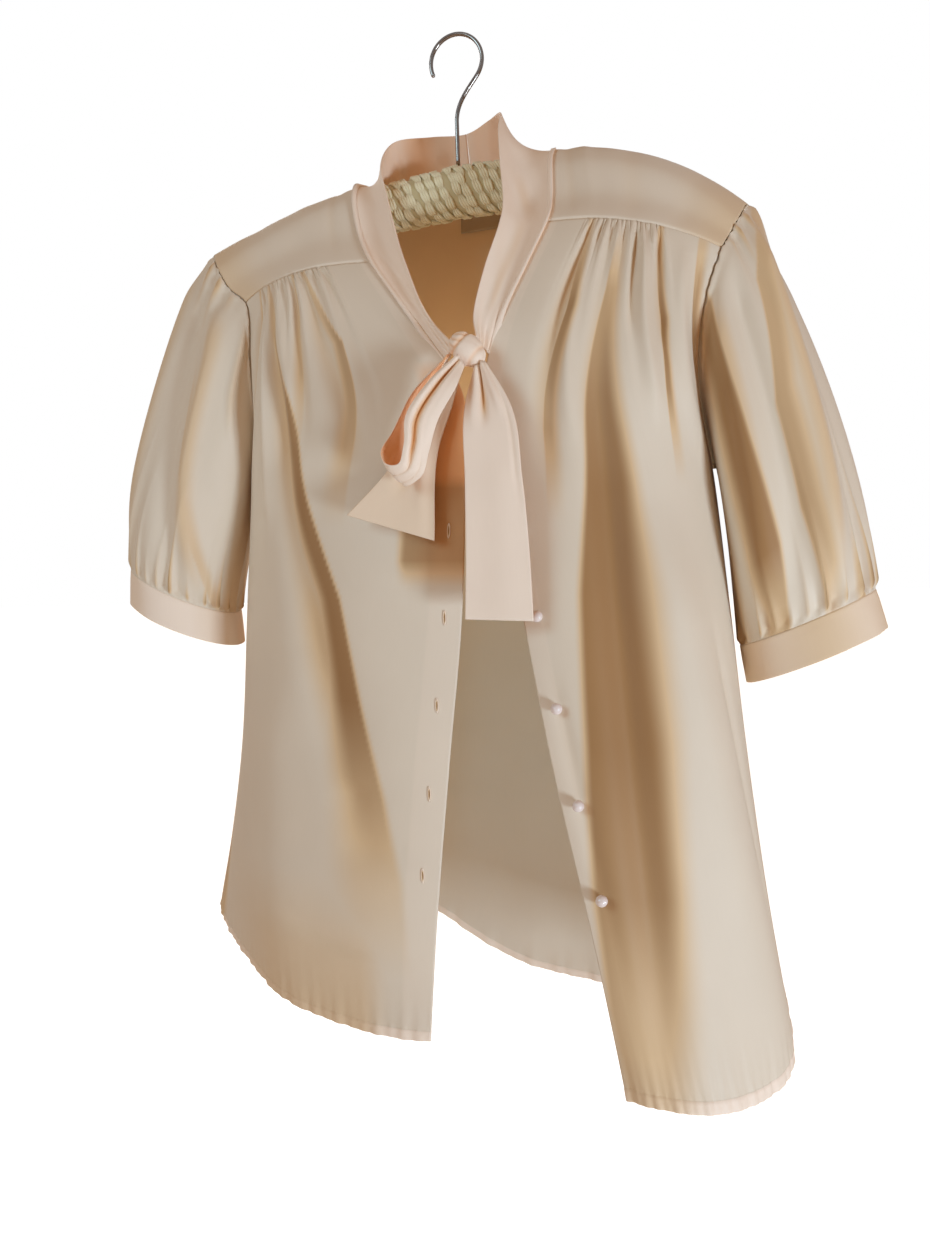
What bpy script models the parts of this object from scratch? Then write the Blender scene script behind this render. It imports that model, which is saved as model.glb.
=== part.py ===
"""Tie neck blouse with puffed short sleeves, hanging on a hanger with a crochet cover.

The frame: the origin is the inner top of the hanger's hook, +Z is up, -Y is the
blouse's front and +X is the wearer's left. Sizes and tables are in millimetres.
A cloth piece is a grid whose points a surface function puts in place, and a
Solidify modifier gives it its thickness.
"""

import math

import bmesh
import bpy
import mathutils
import numpy as np

MM = 0.001

# Cloth
CLOTH = 1.2
DOUBLE_CLOTH = 1.6
SEAM_GAP = 0.5
COLLAR_GAP = 1.9
ANGLED_SEAM_GAP = 1.1
UNDERARM_GAP = 2.0

# Hanger
WIRE_DIAMETER = 3.2
HOOK_INNER_RADIUS = 18.4
HOOK_TIP = math.radians(202)
HOOK_TURN_OFF = math.radians(-38)
STEM_TOP = (-1.0, -63.0)
STEM_FOOT_GAP = 0.4
BEND_HANDLES = (12.0, 14.0)
HOOK_STEPS = 30
BEND_STEPS = 8
PLAIN_STATIONS = 8
BAR_SIDES = 12
BAR_DEPTH_SHARE = 0.6
BAR_NECK_LINE = ((-38, -97.8), (0, -93.4), (36, -93.8))
BAR_CLEARANCE = 1.7
STITCH_PITCH = 8.5
STITCH_HEIGHT = 1.0
STITCHED_HALF_LENGTH = 64.0

# Cuffs
CUFF_DEPTH = 27.0
CUFF_FLARE = 1.5

# Buttons
BUTTON_LEVELS = (0.425, 0.522, 0.612, 0.703, 0.789)
BUTTON_RADIUS = 3.9
BUTTON_INSET = 12.0
BUTTON_SIDES = 10
SHANK_RADIUS = 1.4
SHANK_LENGTH = 1.6
SHANK_SEAT = 0.3
BALL_STEPS = 7
NEAR_EDGE = 0.96

# Each front from the shoulder seam to the hem. The side point a and the edge
# point b are joined by a Bezier curve whose handles are p and q.
# v, a (x, y, z), p (x, y, z), q (x, y, z), b (x, y, z)
FRONT_LEFT = (
    (0.000, 212, 12, -156, 168, 13, -116, 118, 12, -102, 71, 12, -102),
    (0.021, 211, 0, -150, 167, 0, -110, 118, 0, -95, 71, 0, -95),
    (0.060, 205, -20, -163, 165, -22, -122, 118, -22, -108, 73, -20, -109),
    (0.105, 198, -28, -177, 160, -34, -150, 118, -36, -139, 75, -36, -141),
    (0.140, 193, -35, -187, 158, -46, -168, 112, -53, -160, 74, -50, -161),
    (0.210, 180, -40, -228, 166, -68, -222, 95, -80, -224, 46, -76, -228),
    (0.290, 176, -30, -282, 178, -84, -276, 90, -94, -279, 33, -81, -282),
    (0.370, 184, 0, -335, 186, -80, -330, 100, -100, -335, 42, -87, -342),
    (0.520, 194, 4, -435, 204, -84, -432, 118, -114, -433, 60, -99, -434),
    (0.670, 203, 4, -535, 218, -90, -534, 140, -130, -535, 81, -116, -535),
    (0.820, 214, 4, -632, 232, -96, -636, 160, -147, -638, 106, -134, -635),
    (1.000, 230, 10, -728, 246, -90, -772, 184, -190, -729, 129, -150, -737),
)
FRONT_RIGHT = (
    (0.000, -210, 12, -147, -170, 13, -132, -120, 12, -118, -78, 12, -109),
    (0.021, -209, 0, -141, -168, 0, -125, -120, 0, -111, -77, 0, -103),
    (0.060, -197, -20, -156, -160, -22, -137, -118, -22, -123, -78, -20, -115),
    (0.105, -182, -28, -177, -150, -36, -162, -108, -38, -150, -69, -35, -150),
    (0.140, -166, -35, -190, -140, -47, -176, -96, -54, -172, -56, -50, -175),
    (0.210, -162, -38, -235, -152, -64, -228, -75, -78, -228, -14, -73, -230),
    (0.290, -165, -26, -285, -166, -80, -280, -60, -92, -281, 19, -82, -282),
    (0.370, -180, 2, -335, -184, -56, -332, -70, -100, -335, 19, -85, -340),
    (0.520, -194, 10, -435, -192, -48, -433, -90, -108, -433, 16, -93, -434),
    (0.670, -210, 18, -535, -198, -38, -536, -105, -114, -535, 6, -101, -535),
    (0.820, -231, 24, -628, -208, -30, -636, -114, -118, -634, -4, -106, -634),
    (1.000, -250, 30, -697, -212, -25, -718, -110, -102, -742, -12, -110, -732),
)
YOKE_END = 0.140
FRONT_SIDE = 0.0026
BACK_SIDE = 0.996
UNDERARM = 0.370
PANEL_LENGTH = 655.0

# Gathers below each yoke seam: where they lie on the seam, how many, how deep
# they are and how far down they run.
# start, end, count, depth, reach
GATHERS_LEFT = (0.305, 0.774, 8, 2.6, 0.050)
GATHERS_RIGHT = (0.130, 0.750, 8, 2.6, 0.050)
GATHER_SHARE = (0.17, 0.83)

# Folds of a panel: ridges have a positive height and troughs a negative one.
# u_top, u_bottom, v_start, v_end, width_top, width_bottom, height
FOLDS_LEFT = (
    (0.72, 0.80, 0.145, 0.40, 0.035, 0.050, -4.5),
    (0.53, 0.86, 0.150, 1.10, 0.050, 0.085, -9.0),
    (0.41, 0.36, 0.145, 0.34, 0.028, 0.040, 4.5),
    (0.35, 0.28, 0.145, 0.28, 0.022, 0.035, -4.0),
    (0.21, 0.17, 0.150, 0.40, 0.040, 0.060, 3.5),
    (0.09, 0.04, 0.150, 0.30, 0.030, 0.040, -3.0),
    (0.48, 0.26, 0.400, 1.15, 0.110, 0.150, 8.0),
)
FOLDS_RIGHT = (
    (0.26, 0.84, 0.145, 0.78, 0.040, 0.080, -6.5),
    (0.36, 0.62, 0.150, 0.55, 0.035, 0.060, 4.0),
    (0.46, 0.51, 0.145, 0.38, 0.028, 0.045, -3.5),
    (0.55, 0.71, 0.145, 0.40, 0.030, 0.050, -4.0),
    (0.18, 0.09, 0.150, 0.36, 0.035, 0.050, -4.0),
    (0.45, 0.60, 0.550, 1.20, 0.120, 0.150, 6.0),
)
FOLDS_BACK = (
    (-0.36, -0.46, 0.10, 1.10, 0.070, 0.100, -6.0),
    (-0.10, -0.14, 0.25, 1.15, 0.090, 0.120, 5.0),
    (0.26, 0.36, 0.12, 1.10, 0.070, 0.100, -6.0),
    (0.56, 0.62, 0.15, 1.00, 0.060, 0.090, 5.0),
)

# The middle of the back from the underarm level to the hem.
BACK_MIDDLE = (
    (0.370, -4, 60, -338),
    (0.520, -8, 66, -436),
    (0.670, -16, 76, -537),
    (0.820, -28, 88, -628),
    (1.000, -42, 102, -716),
)
BACK_SQUARENESS = 0.62

# How far the back's hem dips below its middle line at w, growing from BACK_DIP_START on.
BACK_DIP_START = 0.70
BACK_DIP = (
    (-1.00, 0), (-0.60, 0), (-0.30, 0), (-0.15, 0), (-0.06, 4), (0.00, 18), (0.06, 33),
    (0.12, 43), (0.20, 48), (0.30, 50), (0.50, 48), (0.70, 38), (0.85, 22), (1.00, 0),
)
BACK_SHOULDER_SHARE = 5 / 12

# The back's armhole edges curve inwards and backwards between shoulder and underarm.
ARMHOLE_IN = 14.0
ARMHOLE_BACK = 24.0
ARMHOLE_NARROWNESS = 5

# The back of the neck, from the right shoulder to the left one.
BACK_NECK = (
    (-1.00, -78, 12, -109),
    (-0.62, -58, 29, -108),
    (-0.30, -30, 41, -104),
    (0.00, 0, 44, -102),
    (0.30, 29, 41, -101),
    (0.62, 53, 29, -101),
    (1.00, 71, 12, -102),
)

# The collar from the right end at the knot, round the neck, to the left end.
# Its seam lies on a front's edge at v, or on the back neck; f is its free edge
# and bow is how far its middle stands out.
# seam, at, f (x, y, z), bow
COLLAR = (
    ("right", 0.254, 14.2, -90.6, -248.4, 1),
    ("right", 0.209, -3, -81, -229, 3),
    ("right", 0.175, -14, -73, -210, 5),
    ("right", 0.140, -26, -62, -183, 7),
    ("right", 0.105, -36, -50, -158, 6),
    ("right", 0.060, -47, -36, -125, 6),
    ("right", 0.021, -57, -17, -93, 6),
    ("neck", -0.62, -56, 14, -65, 3),
    ("neck", -0.30, -32, 36, -56, 2),
    ("neck", 0.00, -4, 42, -55, 2),
    ("neck", 0.30, 17, 32, -51, 2),
    ("neck", 0.62, 31, 8, -57, 3),
    ("left", 0.021, 34, -14, -78, 5),
    ("left", 0.060, 38, -30, -108, 6),
    ("left", 0.105, 43, -46, -140, 6),
    ("left", 0.140, 42, -57, -161, 5),
    ("left", 0.175, 34, -70, -192, 4),
    ("left", 0.209, 28, -82, -226, 2),
    ("left", 0.248, 32, -91, -245, 1),
)
COLLAR_MIDDLE = 9 / 18
HALF_SEAM = 0.0006

# Each tie piece is a ribbon along a path c, with h its half width vector and bow how far
# its middle stands out.
# t, c (x, y, z), h (x, y, z), bow
TIE_LOOP = (
    (0.00, 11, -92, -256, 3, 2, 4, 1),
    (0.14, 4, -99, -268, 3, 4, 2, 4),
    (0.28, -5, -104, -285, 6, 6, 0, 6),
    (0.40, -15, -108, -309, 8, 7, 0, 6),
    (0.46, -21, -111, -325, 9, 8, -3, 4),
    (0.50, -21, -116, -337, 4, 8, -7, 2),
    (0.54, -10, -120, -335, 6, 6, -4, 2),
    (0.60, -4, -123, -322, 7, 5, -2, 2),
    (0.72, 1, -124, -302, 10, 3, -2, 2),
    (0.86, 14, -118, -280, 9, 2, -2, 2),
    (1.00, 24, -106, -263, 2, 1, -4, 1),
)
TIE_TAIL_RIGHT = (
    (0.00, 17, -89, -265, 4, 0, 3, 0),
    (0.25, 2, -90, -294, 12, 0, 7, 0),
    (0.55, -15, -96, -327, 18, 1, 5, 0),
    (1.00, -31, -102, -372, 31, 2, -10, 0),
)
TIE_TAIL_LEFT = (
    (0.00, 35, -98, -265, 4, 0, 2, 0),
    (0.15, 42, -106, -292, 14, 0, 1, 0),
    (0.45, 47, -112, -343, 18, 0, 0, 0),
    (0.75, 49, -115, -395, 20, 1, 0, 0),
    (1.00, 49, -118, -436, 22, 1, -1, 0),
)
LOOP_GROOVE_AT = -0.3
LOOP_GROOVE_WIDTH = 0.28
LOOP_GROOVE_DEPTH = 4.0
KNOT_CENTRE = (26, -95, -254)
KNOT_HALF_SIZES = (14.5, 9.5, 10.5)
KNOT_TILT = math.radians(42)

# The covered bar from its right end to its left one: half its height in the cover.
# x, half height
BAR = ((-197, 12.5), (-160, 16), (-80, 18), (0, 19.5), (80, 18), (160, 16), (197, 12.5))

# Cuff rings at the seam: the middle, half width, half depth, rise to the outside
# and how far the cuff leans out to its hem.
CUFF_LEFT = {
    "x": 248.0, "y": -2.0, "z": -444.0, "width": 46.0, "depth": 43.0, "rise": 19.5, "lean": 6.0,
}
CUFF_RIGHT = {
    "x": -249.0, "y": -2.0, "z": -412.5, "width": 44.0, "depth": 43.0, "rise": 20.5, "lean": 0.0,
}

# A sleeve's lines leave the armhole and arrive at the cuff with handles of these x and z,
# shorter at the underarm, and swell to the front and the back by these amounts.
SLEEVE_LEAVES = (26.0, -30.0)
SLEEVE_ARRIVES = (2.0, 70.0)
SLEEVE_PUFF = (20.0, 14.0)
# Under the arm the same handles change by x and z.
UNDERARM_LEAVES = (-18.0, -10.0)
UNDERARM_ARRIVES = (-8.0, -30.0)
SLEEVE_CAP_GATHERS = 10
SLEEVE_CAP_ZONE = (0.30, 0.74)
SLEEVE_CAP_SHARE = (0.27, 0.73)
SLEEVE_CAP_DEPTH = 2.4
SLEEVE_CUFF_GATHERS = 24
SLEEVE_CUFF_DEPTH = 2.0
SLEEVE_FOLDS_LEFT = (
    (0.24, 0.15, 0.02, 1.02, 0.030, 0.035, -6.5),
    (0.29, 0.23, 0.05, 1.00, 0.028, 0.032, 6.0),
    (0.42, 0.30, 0.03, 1.02, 0.030, 0.032, -6.0),
    (0.49, 0.38, 0.05, 1.02, 0.035, 0.040, 5.0),
    (0.60, 0.58, 0.05, 1.00, 0.035, 0.040, -6.0),
    (0.70, 0.72, 0.05, 1.00, 0.035, 0.040, 5.0),
    (0.80, 0.84, 0.08, 1.00, 0.030, 0.035, -5.0),
)
SLEEVE_FOLDS_RIGHT = (
    (0.27, 0.17, 0.02, 0.30, 0.020, 0.025, -3.5),
    (0.36, 0.11, 0.05, 1.02, 0.030, 0.032, -5.5),
    (0.42, 0.20, 0.08, 1.00, 0.035, 0.040, 5.0),
    (0.48, 0.36, 0.05, 1.02, 0.030, 0.040, -5.0),
    (0.60, 0.56, 0.05, 1.00, 0.035, 0.040, -6.0),
    (0.70, 0.72, 0.05, 1.00, 0.035, 0.040, 5.0),
    (0.80, 0.84, 0.08, 1.00, 0.030, 0.035, -5.0),
)

# Neck label
LABEL_ACROSS = (-0.06, 0.14)
LABEL_DOWN = (0.012, 0.045)
LABEL_THICKNESS = 1.0
LABEL_GAP = 0.7

# Grids: columns across a piece, and rows as values of v or t. The first and the
# last rows keep all columns where a piece is gathered, and the rest every third.
FRONT_GRID_COLUMNS = 48
YOKE_GRID_COLUMNS = 10
BACK_GRID_COLUMNS = 24
CUFF_GRID_COLUMNS = 24
COLLAR_GRID_COLUMNS = 5
FRONT_DENSE_ROWS = (0.150, 0.164, 0.182)
FRONT_ROWS = (0.21, 0.25, 0.29, 0.33)
YOKE_ROWS = (0.0, 0.0105, 0.021, 0.034, 0.047, 0.060, 0.082, 0.105, 0.140)
BACK_ROWS = (0.0, 0.02, 0.05, 0.09, 0.14, 0.20, 0.26, 0.32)
LOWER_ROWS = (0.37, 0.42, 0.48, 0.55, 0.62, 0.69, 0.76, 0.83, 0.90, 0.955, 1.0)
SLEEVE_ROWS = (0.0, 0.04, 0.09, 0.18, 0.30, 0.42, 0.54, 0.66, 0.77, 0.86, 0.93, 0.97, 1.0)
SLEEVE_DENSE_ROWS = (0.0, 0.04, 0.09, 0.93, 0.97, 1.0)
LOOP_ROWS = (0.0, 0.08, 0.16, 0.24, 0.32, 0.39, 0.44, 0.48, 0.51, 0.55, 0.60, 0.68, 0.76, 0.84, 0.92, 1.0)
TAIL_ROWS = (0.0, 0.125, 0.25, 0.375, 0.5, 0.625, 0.75, 0.875, 1.0)
THINNED = 3


def spline(table, t):
    """A smooth curve through the table's rows, whose first column is the parameter."""
    table = np.asarray(table, float)
    knots, values = table[:, 0], table[:, 1:]
    slopes = np.gradient(values, knots, axis=0)
    t = np.clip(np.asarray(t, float), knots[0], knots[-1])
    i = np.clip(np.searchsorted(knots, t, side="right") - 1, 0, len(knots) - 2)
    step = (knots[i + 1] - knots[i])[..., None]
    s = (t - knots[i])[..., None] / step
    return (
        (2 * s**3 - 3 * s**2 + 1) * values[i]
        + (s**3 - 2 * s**2 + s) * step * slopes[i]
        + (3 * s**2 - 2 * s**3) * values[i + 1]
        + (s**3 - s**2) * step * slopes[i + 1]
    )


def bezier(a, p, q, b, t):
    """The cubic curve from a to b with the handles p and q."""
    t = np.asarray(t)[..., None]
    return (1 - t) ** 3 * a + 3 * t * (1 - t) ** 2 * p + 3 * t**2 * (1 - t) * q + t**3 * b


def smooth(x):
    """0 below 0, 1 above 1, and a soft step between."""
    x = np.clip(x, 0, 1)
    return x * x * (3 - 2 * x)


def lifted(surface, u, v, height, outside):
    """The surface's points moved by height along the normal, which outside turns outwards."""
    e = 1e-3
    across = surface(u + e, v) - surface(u - e, v)
    down = surface(u, v + e) - surface(u, v - e)
    normal = np.cross(across, down) * outside
    normal /= np.linalg.norm(normal, axis=-1, keepdims=True) + 1e-12
    return surface(u, v) + normal * np.asarray(height)[..., None]


def fold_height(folds, u, v):
    """The sum of the folds: each is a soft ridge or trough along a straight line in u and v."""
    total = np.zeros(np.broadcast(u, v).shape)
    for u_top, u_bottom, v_start, v_end, width_top, width_bottom, height in folds:
        along = (v - v_start) / (v_end - v_start)
        centre = u_top + (u_bottom - u_top) * along
        width = width_top + (width_bottom - width_top) * np.clip(along, 0, 1)
        ends = smooth(along / 0.18) * smooth((1 - along) / 0.35)
        total += height * ends * np.exp(-(((u - centre) / width) ** 2))
    return total


def panel(table, u, v):
    """A front and its yoke in one: u runs from the side to the edge, v from the shoulder seam to the hem."""
    row = spline(table, v)
    return bezier(row[..., 0:3], row[..., 3:6], row[..., 6:9], row[..., 9:12], u)


def fan(share, zone, c, fade):
    """Column c's place on a gathered seam, where share of the columns crowds into zone."""
    crowded = np.interp(c, (0, share[0], share[1], 1), (0, zone[0], zone[1], 1))
    return c + (crowded - c) * fade


def front_surface(table, gathers, folds, side, c, v):
    """A front below its yoke with its gathers and folds. The gathers start flat at the seam,
    are deepest just below it and die out as the columns fan out."""
    start, end, count, depth, reach = gathers
    below = (v - YOKE_END) / reach
    u = fan(GATHER_SHARE, (start, end), c, np.exp(-np.maximum(below, 0) * 0.8))
    u = FRONT_SIDE + (1 - FRONT_SIDE) * u
    place = (c - GATHER_SHARE[0]) / (GATHER_SHARE[1] - GATHER_SHARE[0])
    inside = smooth(place * count) * smooth((1 - place) * count)
    wave = -np.cos(2 * math.pi * count * place) * inside
    height = wave * depth * smooth(below / 0.35) * np.exp(-np.maximum(below, 0) * 0.9)
    height = height + fold_height(folds, u, v)
    return lifted(lambda a, b: panel(table, a, b), u, v, height, side)


def back_level(w, v):
    """The back's section at v below the underarm: w runs from -1, right side seam, to 1, left side seam."""
    right = spline(FRONT_RIGHT, v)[..., 0:3]
    left = spline(FRONT_LEFT, v)[..., 0:3]
    middle = spline(BACK_MIDDLE, v)
    side = np.where((w < 0)[..., None], right, left)
    reach = middle - side
    p = side + reach * np.array([0.0, BACK_SQUARENESS, 0.35])
    q = middle - reach * np.array([BACK_SQUARENESS, 0.0, 0.15])
    return bezier(side, p, q, middle, 1 - np.abs(w))


def back_top(w):
    """The back's upper edge: the two shoulder seams with the back of the neck between them."""
    share = BACK_SHOULDER_SHARE
    zero = np.zeros_like(w)
    right = panel(FRONT_RIGHT, np.clip((1 + w) / share, 0, 1), zero)
    left = panel(FRONT_LEFT, np.clip((1 - w) / share, 0, 1), zero)
    neck = spline(BACK_NECK, np.clip(w / (1 - share), -1, 1))
    return np.where((w < share - 1)[..., None], right, np.where((w > 1 - share)[..., None], left, neck))


def back_surface(w, v):
    """The back: w from side to side, v from the shoulders to the hem. Above the underarm a
    point falls from the top edge and swells backwards as a quarter of a sine, and the two
    armhole edges curve inwards and back."""
    s = np.clip(v / UNDERARM, 0, 1)
    top = back_top(w)
    low = back_level(w, np.full_like(v, UNDERARM))
    share = np.stack([s, np.sin(math.pi / 2 * s), s], -1)
    upper = top + (low - top) * share
    bend = np.sin(math.pi * s) * np.abs(w) ** ARMHOLE_NARROWNESS
    upper = upper + np.stack([-ARMHOLE_IN * np.sign(w) * bend, ARMHOLE_BACK * bend, 0 * bend], -1)
    lower = back_level(w, np.maximum(v, UNDERARM))
    dip = spline(BACK_DIP, w)[..., 0] * smooth((v - BACK_DIP_START) / (1 - BACK_DIP_START))
    lower = lower - np.stack([0 * dip, 0 * dip, dip], -1)
    return np.where((v < UNDERARM)[..., None], upper, lower)


def armhole(table, side, w):
    """The armhole ring: w is 0 at the underarm, 0.25 in front, 0.5 at the shoulder and 0.75 behind."""
    w = w % 1.0
    front = spline(table, UNDERARM * (1 - 2 * np.minimum(w, 0.5)))[..., 0:3]
    behind = back_surface(np.full_like(w, side), UNDERARM * (2 * np.maximum(w, 0.5) - 1))
    return np.where((w < 0.5)[..., None], front, behind)


def cuff_ring(cuff, side, w, down):
    """The cuff's ring down millimetres below its seam, with the same w as the armhole."""
    turn = 2 * math.pi * w
    flare = CUFF_FLARE * down / CUFF_DEPTH
    outward = -np.cos(turn)
    x = cuff["x"] + side * outward * (cuff["width"] + flare) + cuff["lean"] * down / CUFF_DEPTH
    y = cuff["y"] - np.sin(turn) * (cuff["depth"] + flare)
    z = cuff["z"] + cuff["rise"] * outward - down
    return np.stack([x, y, z], -1)


def sleeve(table, cuff, side, w, t):
    """A sleeve without folds: Bezier lines from the armhole at t 0 to the cuff's seam at t 1."""
    turn = 2 * math.pi * w
    low = (1 + np.cos(turn)) / 2
    start = armhole(table, side, w)
    start = start + np.stack([side * (ANGLED_SEAM_GAP + UNDERARM_GAP * low), 0 * w, -0.5 + 0 * w], -1)
    end = cuff_ring(cuff, side, w, np.zeros_like(w))
    puff = [swell * np.sin(turn) for swell in SLEEVE_PUFF]
    leaves = [high + change * low for high, change in zip(SLEEVE_LEAVES, UNDERARM_LEAVES)]
    arrives = [high + change * low for high, change in zip(SLEEVE_ARRIVES, UNDERARM_ARRIVES)]
    out = np.stack([side * leaves[0], -puff[0], leaves[1]], -1)
    back = np.stack([side * arrives[0], -puff[1], arrives[1]], -1)
    return bezier(start, start + out, end + back, end, t)


def sleeve_surface(table, cuff, side, folds, c, t):
    """A sleeve with gathers at its cap, gathers all round its cuff, and folds between."""
    w = fan(SLEEVE_CAP_SHARE, SLEEVE_CAP_ZONE, c % 1.0, np.exp(-t * 5)) + np.floor(c)
    place = (c % 1.0 - SLEEVE_CAP_SHARE[0]) / (SLEEVE_CAP_SHARE[1] - SLEEVE_CAP_SHARE[0])
    inside = smooth(place * 5) * smooth((1 - place) * 5)
    cap = -np.cos(2 * math.pi * SLEEVE_CAP_GATHERS * place) * inside
    cap = cap * SLEEVE_CAP_DEPTH * smooth(t / 0.04) * np.exp(-t * 9)
    cuff_wave = -np.cos(2 * math.pi * SLEEVE_CUFF_GATHERS * c)
    cuff_wave = cuff_wave * SLEEVE_CUFF_DEPTH * smooth((1 - t) / 0.05) * np.exp(-(1 - t) * 11)
    height = cap + cuff_wave + fold_height(folds, w % 1.0, t)
    return lifted(lambda a, b: sleeve(table, cuff, side, a, b), w, t, height, side)


def collar_lines():
    """The collar's seam, its free edge and its bow at each row of the table."""
    seam, free, bow = [], [], []
    edges = {"left": FRONT_LEFT, "right": FRONT_RIGHT}
    for name, at, fx, fy, fz, out in COLLAR:
        at = np.array([float(at)])
        seam.append(spline(BACK_NECK, at)[0] if name == "neck" else spline(edges[name], at)[0][9:12])
        free.append((fx, fy, fz))
        bow.append((out,))
    stations = np.linspace(0, 1, len(COLLAR))
    return [np.column_stack([stations, np.array(line, float)]) for line in (seam, free, bow)]


def collar_surface(u, t):
    """The collar: u from its seam at 0 to its free edge at 1, t from the right end to the left."""
    seam, free, bow = collar_lines()
    low, high, out = spline(seam, t), spline(free, t), spline(bow, t)
    along = spline(seam, t + 1e-3) - spline(seam, t - 1e-3)
    outward = np.cross(along, high - low)
    outward /= np.linalg.norm(outward, axis=-1, keepdims=True)
    start = low + (high - low) * (COLLAR_GAP / np.linalg.norm(high - low, axis=-1, keepdims=True))
    u = np.asarray(u)[..., None]
    return start + (high - start) * u + outward * out * np.sin(math.pi * u)


def ribbon(table, u, t, groove=0.0):
    """A tie piece: u from -1 to 1 across it, t along it. Its middle stands out by the bow,
    and the loop's front layer has a groove along it."""
    row = spline(table, t)
    centre, half, bow = row[..., 0:3], row[..., 3:6], row[..., 6]
    along = spline(table, t + 1e-3)[..., 0:3] - spline(table, t - 1e-3)[..., 0:3]
    normal = np.cross(half, along)
    normal /= np.linalg.norm(normal, axis=-1, keepdims=True)
    sunk = groove * np.exp(-(((u - LOOP_GROOVE_AT) / LOOP_GROOVE_WIDTH) ** 2)) * smooth((t - 0.55) / 0.15)
    height = bow * (1 - u**2) - sunk
    return centre + half * np.asarray(u)[..., None] + normal * height[..., None]


def material(name, colour, roughness, metallic=0.0):
    """A plain finish."""
    made = bpy.data.materials.new(name)
    made.use_nodes = True
    shader = made.node_tree.nodes["Principled BSDF"]
    shader.inputs["Base Color"].default_value = (*colour, 1.0)
    shader.inputs["Roughness"].default_value = roughness
    shader.inputs["Metallic"].default_value = metallic
    return made


def add_object(name, data, finish, collection):
    """An object of that mesh or curve, shaded smooth where it is a mesh."""
    piece = bpy.data.objects.new(name, data)
    data.materials.append(finish)
    if isinstance(data, bpy.types.Mesh):
        data.shade_smooth()
    collection.objects.link(piece)
    return piece


def cloth(name, surface, columns, rows, thickness, finish, collection, ring=False, dense=()):
    """A cloth piece: surface(c, v) places a grid of columns, c from 0 to 1, and of rows at
    the given v. Rows that aren't in dense keep only every third column. A ring's ends meet."""
    work = bmesh.new()
    bmesh.ops.create_grid(work, x_segments=columns, y_segments=len(rows) - 1, size=0.5)
    flat = np.array([vertex.co[:2] for vertex in work.verts]) + 0.5
    column = np.rint(flat[:, 0] * columns).astype(int)
    row = np.rint(flat[:, 1] * (len(rows) - 1)).astype(int)
    placed = surface(column / columns, np.array(rows)[row]) * MM
    at = {}
    for vertex, point, i, j in zip(work.verts, placed, column, row):
        vertex.co = point
        at[i, j] = vertex
    if dense:
        thinned = {
            at[i, j]: at[i - i % THINNED, j] for i, j in at if i % THINNED and rows[j] not in dense
        }
        bmesh.ops.weld_verts(work, targetmap=thinned)
    if ring:
        bmesh.ops.remove_doubles(work, verts=work.verts, dist=1e-6)
    bmesh.ops.recalc_face_normals(work, faces=work.faces)
    mesh = bpy.data.meshes.new(name)
    work.to_mesh(mesh)
    work.free()
    piece = add_object(name, mesh, finish, collection)
    wall = piece.modifiers.new("wall", "SOLIDIFY")
    wall.thickness = thickness * MM
    wall.offset = 0
    return piece


def add_fronts(finish, collection):
    """Both fronts and both front yokes."""
    first = YOKE_END + SEAM_GAP / PANEL_LENGTH
    dense = (first, *FRONT_DENSE_ROWS)
    rows = (*dense, *FRONT_ROWS, *LOWER_ROWS)
    sides = (
        ("left", FRONT_LEFT, GATHERS_LEFT, FOLDS_LEFT, 1),
        ("right", FRONT_RIGHT, GATHERS_RIGHT, FOLDS_RIGHT, -1),
    )
    for name, table, gathers, folds, side in sides:
        cloth(
            "front_" + name,
            lambda c, v: front_surface(table, gathers, folds, side, c, v),
            FRONT_GRID_COLUMNS, rows, CLOTH, finish, collection, dense=dense,
        )
        cloth(
            "yoke_" + name,
            lambda u, v: panel(table, u, v),
            YOKE_GRID_COLUMNS, YOKE_ROWS, DOUBLE_CLOTH, finish, collection,
        )


def add_back(finish, collection):
    """The back, which starts just below the shoulder seams."""
    drop = np.array([0, 0.6, -ANGLED_SEAM_GAP])

    def place(c, v):
        w = (2 * c - 1) * BACK_SIDE
        lowered = np.clip(1 - v / 0.05, 0, 1)[..., None] * drop
        return lifted(back_surface, w, v, fold_height(FOLDS_BACK, w, v), 1) + lowered

    cloth("back", place, BACK_GRID_COLUMNS, (*BACK_ROWS, *LOWER_ROWS), CLOTH, finish, collection)


def add_sleeves(finish, collection):
    """Both sleeves and cuffs."""
    sides = (
        ("left", FRONT_LEFT, CUFF_LEFT, SLEEVE_FOLDS_LEFT, 1),
        ("right", FRONT_RIGHT, CUFF_RIGHT, SLEEVE_FOLDS_RIGHT, -1),
    )
    for name, table, cuff, folds, side in sides:
        cloth(
            "sleeve_" + name,
            lambda c, t: sleeve_surface(table, cuff, side, folds, c, t),
            2 * SLEEVE_CUFF_GATHERS, SLEEVE_ROWS, CLOTH, finish, collection,
            ring=True, dense=SLEEVE_DENSE_ROWS,
        )
        cloth(
            "cuff_" + name,
            lambda w, t: cuff_ring(cuff, side, w, SEAM_GAP + t * CUFF_DEPTH),
            CUFF_GRID_COLUMNS, (0.0, 1.0), DOUBLE_CLOTH, finish, collection, ring=True,
        )


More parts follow.
